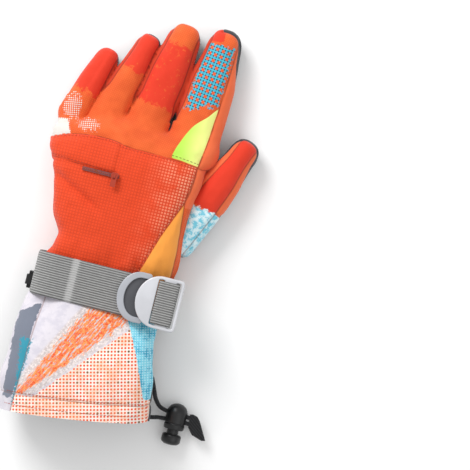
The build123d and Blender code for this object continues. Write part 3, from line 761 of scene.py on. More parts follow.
def point_normals(points: np.ndarray, quads: np.ndarray) -> np.ndarray:
    """Give each point's unit normal from the quads around it."""
    a, b, c, d = (points[quads[:, i]] for i in range(4))
    normal = np.cross(c - a, d - b)
    total = np.zeros_like(points)
    for i in range(4):
        np.add.at(total, quads[:, i], normal)
    return total / (np.linalg.norm(total, axis=1)[:, None] + 1e-9)


@dataclass
class GloveSkin:
    """The sewn outer skin of hand, fingers and thumb."""

    voxel: float = 1.15
    seam_depth: float = 0.85
    puff: float = 0.9
    crotch: float = 1.0
    web: float = 6.0
    wrist: float = -66.0
    cloth: bpy.types.Material | None = None
    pieces: dict[str, bpy.types.Object] = field(default_factory=dict)

    def hand_field(self, points: np.ndarray) -> np.ndarray:
        """Give the signed distance to the hand and its four fingers."""
        fingers = np.full(len(points), 50.0)
        for finger in FINGERS:
            fingers = smooth_min(fingers, finger.distance(points), self.crotch)
        return smooth_min(hand_distance(points), fingers, self.web)

    @staticmethod
    def owners(points: np.ndarray, root: float) -> tuple[np.ndarray, list[np.ndarray]]:
        """Tell which finger each place belongs to.

        Args:
            points: Places in millimetres.
            root: How far behind the knuckle a finger's cloth begins.

        Returns:
            The finger's number or -1 for the hand, and the distance along every finger.
        """
        gaps = np.array([finger.distance(points) for finger in FINGERS])
        along = [finger.local(points)[0] for finger in FINGERS]
        nearest = gaps.argmin(axis=0)
        mine = np.array(along)[nearest, np.arange(len(points))]
        return np.where(mine > root, nearest, -1), along

    def zones(self, points: np.ndarray, normals: np.ndarray) -> dict[str, np.ndarray]:
        """Work out the cloth panels and print areas on the hand skin.

        Args:
            points: Places in millimetres.
            normals: Unit normals there.

        Returns:
            One value for each point and each zone, positive inside.
        """
        x, y, z = points.T
        count = len(points)
        owner, _ = self.owners(points, -6.0)
        top_edge, right_edge = through(POCKET_TOP, x), through(POCKET_RIGHT, y)
        upper = z - 11
        pocket = np.minimum(np.minimum(top_edge - y, right_edge - x), upper)
        pocket = np.where(owner >= 0, -5.0, pocket)
        palm = 8.5 - z
        gusset = np.full(count, -9.0)
        red = np.zeros(count)
        seam = np.minimum(np.abs(top_edge - y), 9) + 9 * (z < 16)
        seam = np.minimum(seam, np.abs(right_edge - x) + 9 * ((y > 46) | (z < 16)))
        # the flap line darkens the colour below the flap's edge, a painted shadow under the flap
        flap_line = np.abs(y - 19.8 + 0.06 * (x + 36)) + 9 * ((x > -11) | (z < 16))
        seam = np.minimum(seam, flap_line * 1.3)
        panel_edge = through(THUMB_SEAM, y)
        seam = np.minimum(seam, np.abs(panel_edge - x) * 1.3 + 9 * (z < 14) + 9 * (normals[:, 2] < 0.15))
        gusset = np.maximum(gusset, np.minimum(x - panel_edge, y - 8))
        for number, finger in enumerate(FINGERS):
            s, side, up = finger.local(points)
            mine = owner == number
            wide = finger.half_width(s)
            near_tip = soft_step(s, finger.length * 0.45, finger.length * 0.75)
            lift = {"index": 11.0, "ring": 5.0}.get(finger.name, 1.0) * near_tip * (side > -4)
            palm = np.where(mine, -1.0 - up - 0.08 * np.abs(side) + lift * 0.55, palm)
            edge = np.abs(side) - wide * 0.84 - 2.6 * soft_step(s, 20, 4)
            if finger.name == "index":
                edge = np.where(side > 0, x - panel_edge, edge)
            if finger.name == "little":
                edge = np.where(side < 0, -3.0, edge)
            fade = s > 4
            gusset = np.where(mine & fade, np.minimum(edge, 6), gusset)
            back = mine & fade & (up > -2)
            seam = np.where(back, np.minimum(seam, np.abs(edge) + 0.0), seam)
            share = s / finger.length
            tint = {
                "little": 0.25 + 0.55 * soft_step(share, 0.1, 0.45),
                "ring": 0.18 + 0.5 * soft_step(share, 0.42, 0.62),
                "middle": 0.62 * soft_step(share, 0.05, 0.2) * (1 - soft_step(share, 0.72, 0.9)),
                "index": 0.9 * soft_step(share, 0.82, 0.9) * soft_step(-side, -2, 3),
            }[finger.name]
            red = np.where(mine, np.maximum(red, tint), red)
            seam = np.where(mine, np.minimum(seam, np.abs(palm) + 0.25), seam)
        seam = np.minimum(seam, np.abs(palm) + 0.3 + 4 * (owner >= 0))
        s, side, _ = FINGERS[3].local(points)
        cyan = np.minimum(np.minimum(s - 13 - 0.42 * (side + 12), 64 - s), panel_edge - 1.2 - x)
        cyan = np.where((owner == 3) & (z > 12), np.minimum(cyan, side + 12.5), -9.0)
        lime = np.minimum(x - through(LIME_EDGE, y), np.minimum(panel_edge - 0.6 - x, y - top_edge - 0.8))
        lime = np.where(z > 15, lime, -5.0)
        s, side, _ = FINGERS[0].local(points)
        fleck = 0.62 - 0.35 * np.hypot((x + 52) / 7.5, (y - 58) / 13) ** 2
        fleck = np.maximum(fleck, 0.6 - 0.35 * np.hypot((x + 38) / 11, (y - 47.5) / 6) ** 2)
        patch = np.minimum(-49.5 - x - 0.5 * (y - 42), 48 - y) + 0.5
        white = np.where(y > top_edge, np.maximum(fleck, patch), 0)
        amber = np.minimum(x - right_edge - 0.5, panel_edge - x)
        amber = np.where((y < 14) & (z > 14), amber, -5.0)
        return {"palm": palm, "gusset": gusset, "pocket": pocket, "lime": lime, "cyan": cyan, "red": red,
                "white": np.clip(white, 0, 1), "amber": amber, "seam": seam, "ice": np.full(count, -5.0)}

    def relief(self, points: np.ndarray, normals: np.ndarray, zones: dict[str, np.ndarray]) -> np.ndarray:
        """Sew in the seams, the puffed panels, the pocket flap and soft creases.

        Args:
            points: Places in millimetres.
            normals: Unit normals there.
            zones: The panels from zones().

        Returns:
            The moved places.
        """
        x, y, z = points.T
        seam = zones["seam"]
        move = -self.seam_depth * np.exp(-(seam / 1.3) ** 2) + self.puff * soft_step(seam, 1.5, 7)
        flap = np.minimum(np.minimum(y - 19.6, -12.5 - x), zones["pocket"])
        move += 0.9 * soft_step(flap, -0.2, 0.7)
        on_back = soft_step(z, 14, 26)
        creases = wrinkle_noise(points * (1.0, 0.55, 1.0), 11.0, 3) * 0.75
        creases = creases + wrinkle_noise(points, 5.0, 4) * 0.28
        bunch = np.exp(-((y + 40) / 9) ** 2)
        creases += bunch * wrinkle_noise(points * (1.0, 0.35, 0.4), 6.0, 5) * 1.3
        fold_line = ((x + 30) * 0.45 + (y - 1) * 0.9 + 2) / 3.2
        fold = np.exp(-fold_line ** 2) * soft_step(-x, 12, 24) * soft_step(-x, 56, 46)
        creases -= fold * 2.6
        move += creases * (0.35 + 0.65 * on_back)
        flat_low = soft_step(z, 1.5, 5.0)
        moved = points + normals * (move * (0.2 + 0.8 * flat_low))[:, None]
        moved[:, 2] = np.maximum(moved[:, 2], 1.24)
        return moved

    def cut(self, name: str, points: np.ndarray, quads: np.ndarray, normals: np.ndarray,
            values: dict[str, np.ndarray], chosen: np.ndarray) -> bpy.types.Object:
        """Make one piece from chosen quads, keeping the whole skin's smooth normals.

        Args:
            name: Name of the piece.
            points: All points in millimetres.
            quads: All quads.
            normals: All point normals.
            values: Attributes of all points.
            chosen: Which quads the piece has.

        Returns:
            The piece.
        """
        part = quads[chosen]
        used, numbers = np.unique(part, return_inverse=True)
        piece = make_mesh(name, points[used], numbers.reshape(part.shape))
        kept = {key: value[used] for key, value in values.items()}
        store(piece, kept | {"rest": points[used] * MM})
        piece.data.normals_split_custom_set_from_vertices(normals[used].tolist())
        dress(piece, self.cloth)
        self.pieces[name] = piece
        return piece

    def build(self) -> None:
        """Build the hand skin, cut at the joints, and the thumb skin."""
        points, quads = mesh_of(self.hand_field, (-66, -68, -2), (60, 141, 48), self.voxel)
        normals = point_normals(points, quads)
        zones = self.zones(points, normals)
        moved = self.relief(points, normals, zones)
        normals = point_normals(moved, quads)
        centre = points[quads].mean(1)
        label, along = self.owners(centre, -5.0)
        self.cut("hand_skin", moved, quads, normals, zones, (label < 0) & (centre[:, 1] > self.wrist))
        for number, finger in enumerate(FINGERS):
            join = finger.middle * 0.52
            mine = label == number
            self.cut(finger.name + "_knuckle_skin", moved, quads, normals, zones,
                     mine & (along[number] <= join))
            self.cut(finger.name + "_end_skin", moved, quads, normals, zones, mine & (along[number] > join))
        self.thumb()

    def thumb(self) -> None:
        """Build the thumb's closed skin, cut half way between its joints."""
        def thumb_field(points: np.ndarray) -> np.ndarray:
            """Give the signed distance to the thumb."""
            return THUMB.distance(points)

        points, quads = mesh_of(thumb_field, (18, -40, -2), (98, 76, 30), self.voxel)
        normals = point_normals(points, quads)
        s, side, up = THUMB.local(points)
        wide = THUMB.half_width(s)
        edge = np.abs(side) - wide * 0.72
        palm = -1.5 - up + 4.5 * soft_step(s, 70, 92)
        seam = np.minimum(np.abs(palm) + 0.2, np.abs(edge) + 9 * (up < -2))
        seam = np.minimum(seam, np.abs(s - 44 - 0.25 * side) + 0.3 + 9 * (up < -2))
        zones = {
            "palm": palm, "gusset": np.where(up > -2, np.minimum(edge, s - 46), -5.0),
            "pocket": np.full(len(s), -5.0),
            "lime": np.full(len(s), -5.0), "cyan": np.full(len(s), -9.0), "red": 0.9 * soft_step(s, 43, 45),
            "white": np.zeros(len(s)), "amber": np.full(len(s), -5.0), "ice": 43.5 - s + 0.25 * side,
            "seam": seam,
        }
        moved = self.relief(points, normals, zones | {"pocket": np.full(len(s), -50.0)})
        normals = point_normals(moved, quads)
        along, _, _ = THUMB.local(points[quads].mean(1))
        self.cut("thumb_root_skin", moved, quads, normals, zones, along <= 53)
        self.cut("thumb_end_skin", moved, quads, normals, zones, along > 53)

    def inner_layer(self, name: str, depth: float, thick: float, node: str,
                    material: bpy.types.Material) -> None:
        """Build one inner layer of the hand under the skin, open at the wrist and the knuckles.

        Args:
            name: Name of the piece.
            depth: Depth of its outer face below the sewn surface.
            thick: Its thickness.
            node: The CAD node it stands for.
            material: Its material.
        """
        def deep_field(points: np.ndarray) -> np.ndarray:
            """Give the hand's signed distance, moved inwards."""
            return self.hand_field(points) + depth

        points, quads = mesh_of(deep_field, (-66, -68, -2), (60, 90, 48), 2.3)
        centre = points[quads].mean(1)
        on_hand = np.ones(len(quads), bool)
        for finger in FINGERS:
            s, _, _ = finger.local(centre)
            on_hand &= (s < 2) | (finger.distance(centre) > 3)
        on_hand &= (centre[:, 1] < 66) & (centre[:, 1] > self.wrist)
        used, numbers = np.unique(quads[on_hand], return_inverse=True)
        piece = make_mesh(name, points[used], numbers.reshape(-1, 4))
        wall = piece.modifiers.new("wall", "SOLIDIFY")
        wall.thickness = thick * MM
        wall.offset = -1
        bake_modifiers(piece)
        dress(piece, material)
        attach(piece, Body.HAND.value)
        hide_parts(node)

    def attach(self) -> None:
        """Let each piece of skin stand for its CAD nodes; only the hand skin rides a body, the finger and
        thumb pieces are baked in place.
        """
        hand = self.pieces["hand_skin"]
        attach(hand, Body.HAND.value)
        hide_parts("back_shell", "palm_shell", "pocket_panel", "pocket_flap")
        for finger in [*FINGERS, THUMB]:
            first = "_root_skin" if finger.name == "thumb" else "_knuckle_skin"
            knuckle, end = self.pieces[finger.name + first], self.pieces[finger.name + "_end_skin"]
            base, tip = finger.name + "_base", finger.name + "_tip"
            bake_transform(knuckle)
            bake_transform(end)
            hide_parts(base + "_back", base + "_palm")
            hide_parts(tip + "_back", tip + "_palm")


@dataclass
class PalmPatch:
    """The grip patch sewn on the palm."""

    leather: bpy.types.Material
    outline: tuple = ((-32, -34), (34, -34), (34, 18), (30, 44), (-40, 40), (-40, 6))
    corner: float = 6.0

    def rounded(self) -> list[tuple[float, float]]:
        """Round the outline's corners.

        Returns:
            The closed outline in plan.
        """
        points = []
        count = len(self.outline)
        for i in range(count):
            before, here, after = (Vector(self.outline[(i + k) % count]) for k in (-1, 0, 1))
            first = here + (before - here).normalized() * self.corner
            last = here + (after - here).normalized() * self.corner
            for step in range(7):
                t = step / 6
                bent = first * (1 - t) ** 2 + here * 2 * t * (1 - t) + last * t ** 2
                points.append((bent.x, bent.y))
        return points

    def build(self) -> None:
        """Build and attach the patch."""
        patch = plate("palm_grip_patch", [self.rounded()], 0.02, 1.6, 0.5, self.leather)
        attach(patch, Body.HAND.value)
        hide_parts("palm_patch")


@dataclass(frozen=True)
class Leather:
    """Synthetic palm leather with a fine pebble grain and an embossed grip pattern."""

    name: str = "palm_leather_grip"
    colour: str = "1F2023"
    light: str = "37383C"
    grip_mm: float = 5.0

    def material(self) -> bpy.types.Material:
        """Write the material.

        Returns:
            The leather.
        """
        t = Tree(self.name)
        where = t.add("VectorMath", t.add("TexCoord", out="Object"), (1000.0, 1000.0, 1000.0),
                      operation="MULTIPLY")
        grain = t.add("TexVoronoi", where, named={"Scale": 0.9})
        bumps = dots(t, where, self.grip_mm, 1.5, 45)
        colour = blend_colour(t, grain, linear(self.colour), linear(self.light))
        colour = blend_colour(t, t.add("Math", bumps, 0.6, operation="MULTIPLY"), colour, linear("101113"))
        relief = t.add("Math", bumps, t.add("Math", grain, 0.25, operation="MULTIPLY"), operation="ADD")
        return cloth_surface(t, colour, relief, 0.0005, 0.55, 0.05)


# ------------------------------------------------------------------ cuff
CUFF_LEFT = [(-154, -51), (-143, -53), (-131, -55), (-117, -52.5), (-99, -52), (-84, -50), (-76, -48.5),
             (-62, -46.5)]
CUFF_RIGHT = [(-154, 51.5), (-137, 51.3), (-130, 50.3), (-112, 49), (-99, 44.8), (-86, 41.6), (-76, 42),
              (-62, 43)]
CUFF_TOP = [(-154, 61.5), (-131, 61.5), (-117, 59.5), (-99, 53.5), (-84, 46), (-76, 42), (-62, 38.5)]
CUFF_BOTTOM = [(-154, 0.3), (-99, 0.3), (-84, 1.2), (-62, 3.4)]


@dataclass
class Cuff:
    """The gauntlet cuff with its lining and hem."""

    cloth: bpy.types.Material
    lining: bpy.types.Material
    rows: int = 96
    columns: int = 300
    start: float = -62.0
    hem_y: float = -149.3
    slant: float = 0.139
    wall: float = 3.2
    hem_band: float = 12.0

    def section(self, angle: np.ndarray, y: np.ndarray, grow: float) -> np.ndarray:
        """Give the points of the cuff's surface.

        Args:
            angle: Angle round the cuff, from the thumb side over the top.
            y: Place along the cuff.
            grow: Offset outwards.

        Returns:
            Places in millimetres.
        """
        left, right = through(CUFF_LEFT, y), through(CUFF_RIGHT, y)
        top, low = through(CUFF_TOP, y), through(CUFF_BOTTOM, y)
        wide, tall = (right - left) / 2 + grow, (top - low) / 2 + grow
        c, s = np.cos(angle), np.sin(angle)
        power = 2 / 3.1
        x = (left + right) / 2 + wide * np.sign(c) * np.abs(c) ** power
        z = (top + low) / 2 + tall * np.sign(s) * np.abs(s) ** power
        return np.stack([x, y, z], -1)

    def zones(self, points: np.ndarray) -> dict[str, np.ndarray]:
        """Work out the print areas and seams of the cuff."""
        x, y, z = points.T
        hem_line = self.hem_y + self.slant * x + 1.2 * ((x / 50) ** 2 - 0.4)
        side_seam = x + 39.5 - 0.04 * (y + 110)
        upper = z > 24
        seam = np.abs(y - hem_line - self.hem_band)
        seam = np.minimum(seam, np.abs(side_seam) + 9 * ~upper)
        seam = np.minimum(seam, np.abs(z - 24) + 0.2)
        left_edge = -12 + 0.53 * (y + 75)
        right_edge = 28 + 0.89 * (y + 78)
        strokes = np.minimum(x - left_edge, right_edge - x)
        strokes = np.where((side_seam > 0) & (hem_line + self.hem_band < y), strokes, -20)
        halftone = np.maximum(x - right_edge, hem_line + self.hem_band - y)
        halftone = np.where(side_seam > 0, halftone, -20)
        cyan = np.minimum(x - (21 + (-75 - y) * 0.48), 60 - x)
        cyan = np.where(y > -126, cyan, -9)
        slate = np.minimum(np.minimum(-39 - x + 0.05 * (y + 80), x + 50.5),
                           np.minimum(-79.5 - y + 0.9 * (x + 40), (y + 146) * 0.5))
        teal = np.minimum(np.minimum(-37.5 - x + 0.04 * (y + 110), x + 43.5 + 0.1 * (y + 128)), -104 - y)
        palm = 24 - z
        return {"strokes": strokes, "halftone": halftone, "cyan": np.where(upper, cyan, -9.0),
                "slate": slate, "teal": teal,
                "hem": hem_line, "seam": seam, "palm": palm}

    def build(self) -> tuple[bpy.types.Object, bpy.types.Object]:
        """Build the outer cloth and the lining.

        Returns:
            The outer skin and the lining.
        """
        angle = np.linspace(0, 2 * pi, self.columns, endpoint=False)
        across = np.linspace(0, 1, self.rows)
        grid_a, grid_t = np.meshgrid(angle, across)
        probe = self.section(grid_a.ravel(), np.full(grid_a.size, -140.0), 0)
        x_there = probe[:, 0]
        end = self.hem_y + self.slant * x_there + 1.2 * ((x_there / 50) ** 2 - 0.4)
        y = self.start + (end - self.start) * grid_t.ravel()
        points = self.section(grid_a.ravel(), y, 0.0)
        faces = np.array(grid_faces(self.rows, self.columns, True))
        zones = self.zones(points)
        normals = point_normals(points, faces)
        if np.mean(normals[:, 0] * (points[:, 0])) < 0:
            faces = faces[:, ::-1]
            normals = -normals
        seam = zones["seam"]
        move = -0.8 * np.exp(-(seam / 1.2) ** 2) + 0.35 * soft_step(seam, 1.2, 6)
        creases = wrinkle_noise(points * (1.0, 0.6, 1.0), 16.0, 7) * 2.3
        creases += wrinkle_noise(points * (1.0, 0.8, 1.0), 6.0, 8) * 0.3
        near_wrist = soft_step(y, -92, -76)
        creases += near_wrist * wrinkle_noise(points * (1.0, 0.3, 0.6), 8.0, 9) * 1.4
        hem = soft_step(-y, 132, 146)
        creases += hem * wrinkle_noise(points * (1.0, 0.25, 0.5), 8.0, 10) * 0.5
        move += creases * soft_step(points[:, 2], 0.5, 5)
        moved = points + normals * move[:, None]
        moved[:, 2] = np.maximum(moved[:, 2], 0.1)
        outer = make_mesh("cuff_skin", moved, faces)
        store(outer, zones | {"rest": moved * MM})
        dress(outer, self.cloth)
        inner_points = self.section(grid_a.ravel(), y, -self.wall)
        roll = 1 - soft_step(grid_t.ravel(), 0.985, 1.0)
        inner_points = moved * (1 - roll[:, None]) + inner_points * roll[:, None]
        inner = make_mesh("cuff_lining_cloth", inner_points, faces[:, ::-1])
        dress(inner, self.lining)
        return outer, inner

    def attach(self, outer: bpy.types.Object, inner: bpy.types.Object) -> None:
        """Bake the cuff and its lining in place and let them stand for their CAD nodes."""
        for piece in (outer, inner):
            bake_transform(piece)
        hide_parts("cuff_back_panel", "cuff_palm_panel", "cuff_hem")
        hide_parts("cuff_lining")


# ------------------------------------------------------------------ straps, buckles, zip, cords
def ribbon(name: str, path: np.ndarray, normals: np.ndarray, y: tuple[float, float], thick: float,
           material: bpy.types.Material, edge_rows: int = 24) -> bpy.types.Object:
    """Make flat webbing along a path in the XZ plane.

    Args:
        name: Name of the piece.
        path: Places x and z along the webbing's middle, in millimetres.
        normals: Outward directions x and z there.
        y: Low and high edges.
        thick: Thickness.
        material: Its webbing.
        edge_rows: Points across the width.

    Returns:
        The webbing, closed all round.
    """
    steps = np.concatenate([[0], np.cumsum(np.linalg.norm(np.diff(path, axis=0), axis=1))])
    half = thick / 2
    across = np.linspace(y[0], y[1], edge_rows)
    ring = [(v, half) for v in across] + [(v, -half) for v in across[::-1]]
    points, along, over = [], [], []
    for (px, pz), (nx, nz), s in zip(path, normals, steps):
        for v, h in ring:
            rounding = min(v - y[0], y[1] - v)
            h = h * (1 - 0.55 * np.exp(-(rounding / 0.6) ** 2))
            points.append((px + nx * h, v, pz + nz * h))
            along.append(s)
            over.append(v)
    faces = [tuple(f) for f in grid_faces(len(path), len(ring), True)]
    faces += [tuple(range(len(ring)))[::-1], tuple((len(path) - 1) * len(ring) + i for i in range(len(ring)))]
    piece = make_mesh(name, np.array(points), faces)
    x = np.array(points)[:, 0]
    # painted sheen band across the strap near x = -22 mm
    fold = soft_step(x, -25.5, -23.5) * soft_step(-x, 19.0, 21.0)
    store(piece, {"along": np.array(along), "across": np.array(over), "fold": fold})
    outward_keep(piece)
    dress(piece, material)
    return piece


def outward_keep(piece: bpy.types.Object) -> None:
    """Turn faces outwards without merging points."""
    work = bmesh.new()
    work.from_mesh(piece.data)
    bmesh.ops.recalc_face_normals(work, faces=work.faces)
    work.to_mesh(piece.data)
    work.free()


def resample(points: list[tuple[float, float]], step: float) -> tuple[np.ndarray, np.ndarray]:
    """Walk along straight runs at an even step and give places and left-hand normals."""
    line = np.array(points, float)
    lengths = np.concatenate([[0], np.cumsum(np.linalg.norm(np.diff(line, axis=0), axis=1))])
    count = max(int(lengths[-1] / step), 2)
    s = np.linspace(0, lengths[-1], count)
    places = np.stack([np.interp(s, lengths, line[:, i]) for i in range(2)], -1)
    tangent = np.gradient(places, axis=0)
    tangent /= np.linalg.norm(tangent, axis=1)[:, None] + 1e-9
    return places, np.stack([-tangent[:, 1], tangent[:, 0]], -1)


def plate(name: str, loops: list[list[tuple[float, float]]], low: float, high: float, bevel: float,
          material: bpy.types.Material) -> bpy.types.Object:
    """Make a flat moulded plate with rounded edges; loops after the first are holes.

    Args:
        name: Name of the piece.
        loops: Closed outlines in plan, in millimetres.
        low: Height of its underside.
        high: Height of its top.
        bevel: Radius of its edges.
        material: Its finish.

    Returns:
        The plate.
    """
    curve = bpy.data.curves.new(name, "CURVE")
    curve.dimensions = "2D"
    curve.fill_mode = "BOTH"
    curve.extrude = ((high - low) / 2 - bevel) * MM
    curve.bevel_depth = bevel * MM
    curve.bevel_resolution = 3
    curve.offset = -bevel * MM
    for loop in loops:
        spline = curve.splines.new("POLY")
        spline.points.add(len(loop) - 1)
        for point, (x, y) in zip(spline.points, loop):
            point.co = (x * MM, y * MM, 0, 1)
        spline.use_cyclic_u = True
    holder = bpy.data.objects.new(name + "_outline", curve)
    bpy.context.scene.collection.objects.link(holder)
    mesh = bpy.data.meshes.new_from_object(holder.evaluated_get(bpy.context.evaluated_depsgraph_get()))
    bpy.data.objects.remove(holder)
    piece = bpy.data.objects.new(name, mesh)
    bpy.context.scene.collection.objects.link(piece)
    for vertex in mesh.vertices:
        vertex.co.z += (low + high) / 2 * MM
    mesh.polygons.foreach_set("use_smooth", [True] * len(mesh.polygons))
    outward(piece)
    piece.data.set_sharp_from_angle(angle=radians(40))
    dress(piece, material)
    return piece


def half_round(left: float, flat: float, right: float, tall: float, middle: float, corner: float = 2.0,
               steps: int = 28) -> list[tuple[float, float]]:
    """Give the outline of a plate with a half round left end and rounded right corners."""
    points = []
    for i in range(steps + 1):
        a = pi / 2 + pi * i / steps
        points.append((flat + (flat - left) * cos(a), middle + tall / 2 * sin(a)))
    for x, y, turn in ((right - corner, middle - tall / 2 + corner, -90),
                       (right - corner, middle + tall / 2 - corner, 0)):
        for i in range(7):
            a = radians(turn + 15 * i)
            points.append((x + corner * cos(a), y + corner * sin(a)))
    return points


def box_loop(x0: float, x1: float, y0: float, y1: float, corner: float) -> list[tuple[float, float]]:
    """Give a rounded rectangle's outline."""
    points = []
    for cx, cy, turn in ((x1 - corner, y0 + corner, -90), (x1 - corner, y1 - corner, 0),
                         (x0 + corner, y1 - corner, 90), (x0 + corner, y0 + corner, 180)):
        for i in range(5):
            a = radians(turn + 22.5 * i)
            points.append((cx + corner * cos(a), cy + corner * sin(a)))
    return points


@dataclass
class WristStrap:
    """The wrist webbing with its two buckles."""

    webbing: bpy.types.Material
    plastic: bpy.types.Material
    pale_plastic: bpy.types.Material
    painted_shade_plastic: bpy.types.Material
    width: tuple[float, float] = (-74.0, -44.0)
    thick: float = 1.6

    def loop(self, start: float, stop: float) -> tuple[np.ndarray, np.ndarray]:
        """Give the strap's path round the wrist between two angles in degrees."""
        left, right, low, top = -50.0, 50.5, 0.5, 43.6
        corner = 15.0 - self.thick / 2
        inset = self.thick / 2
        cx, cz = (left + right) / 2, (low + top) / 2
        a, b = (right - left) / 2 - inset, (top - low) / 2 - inset
        outline = []
        for x, z, turn in ((a - corner, b - corner, 0), (-a + corner, b - corner, 90),
                           (-a + corner, -b + corner, 180), (a - corner, -b + corner, 270)):
            for i in range(13):
                angle = radians(turn + 7.5 * i)
                outline.append((cx + x + corner * cos(angle), cz + z + corner * sin(angle)))
        outline.append(outline[0])
        places, normals = resample(outline, 1.2)
        turned = (np.degrees(np.arctan2(places[:, 1] - cz, places[:, 0] - cx)) - start) % 360
        order = np.argsort(turned)
        order = order[turned[order] <= stop - start]
        return places[order], -normals[order]

    def build(self) -> None:
        """Build and attach the strap, its tail, both buckles and the loop."""
        places, normals = self.loop(30.6, 281)
        strap = ribbon("wrist_webbing", places, normals, self.width, self.thick, self.webbing)
        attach(strap, Body.HAND.value)
        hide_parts("wrist_strap")
        places, normals = self.loop(281.4, 388)
        anchor = ribbon("thumb_side_webbing", places, normals, self.width, self.thick, self.webbing)
        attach(anchor, Body.HAND.value)
        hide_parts("strap_anchor")
        self.slider()
        self.buckle()

    def slider(self) -> None:
        """Build the rear buckle: a half round rim round a sunken floor in dark grey, painted shade in the
        recess.
        """
        top = self.heights("strap_slider")[1].z
        middle = -59.0
        outer = half_round(10.0, 24.5, 31.0, 35.0, middle)
        hole = half_round(15.0, 25.0, 30.2, 27.0, middle, 1.0)
        rim = plate("rear_buckle_rim", [outer, hole], top - 3.0, top, 0.7, self.plastic)
        # the dark grey floor stands for the shade inside the rim: painted shade
        floor = plate("rear_buckle_floor", [half_round(14.2, 24.8, 30.6, 28.4, middle, 1.0)], top - 2.9,
                      top - 1.6, 0.3,
                      self.painted_shade_plastic)
        for piece in (rim, floor):
            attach(piece, Body.STRAP_SLIDER.value)
        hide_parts("strap_slider")

    @staticmethod
    def heights(node: str) -> tuple[Vector, Vector]:
        """Give a node's low and high corners in millimetres."""
        low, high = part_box(node)
        return Vector(low) * 1000, Vector(high) * 1000

    def buckle(self) -> None:
        """Build the front buckle and the webbing round its bar."""
        low, high = self.heights("front_buckle")
        middle = -59.0
        outer = half_round(23.0, 39.0, 54.0, 36.0, middle, 2.5)
        slots = [box_loop(36.0, 40.0, middle - 15.6, middle + 15.6, 0.8),
                 box_loop(48.2, 51.8, middle - 15.6, middle + 15.6, 0.8)]
        body = plate("front_buckle_plate", [outer, *slots], low.z, high.z, 0.9, self.pale_plastic)
        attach(body, Body.FRONT_BUCKLE.value)
        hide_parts("front_buckle")
        x0, x1 = 36.9, 50.3
        z0, z1 = low.z - 0.75, high.z + 0.75
        outline = box_loop(x0, x1, z0, z1, 1.4)
        outline.append(outline[0])
        places, normals = resample(outline, 0.7)
        loop = ribbon("buckle_webbing", places, -normals, self.width, 1.1, self.webbing)
        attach(loop, Body.FRONT_BUCKLE.value)
        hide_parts("buckle_loop")


def lathe(name: str, profile: list[tuple[float, float]], centre: tuple[float, float, float],
          material: bpy.types.Material, steps: int = 48) -> bpy.types.Object:
    """Turn a profile about an axis along y.

    Args:
        name: Name of the piece.
        profile: Pairs of place along the axis and radius, in millimetres.
        centre: A point on the axis; the profile's places are counted from it.
        material: Its finish.
        steps: Facets round it.

    Returns:
        The turned piece, closed at both ends.
    """
    rows = []
    for along, radius in profile:
        for i in range(steps):
            a = 2 * pi * i / steps
            rows.append(np.array(centre) + (radius * cos(a), along, radius * sin(a)))
    faces = [tuple(f) for f in grid_faces(len(profile), steps, True)]
    faces += [tuple(range(steps)), tuple((len(profile) - 1) * steps + i for i in range(steps))]
    piece = make_mesh(name, np.array(rows), faces)
    outward(piece)
    piece.data.set_sharp_from_angle(angle=radians(45))
    dress(piece, material)
    return piece


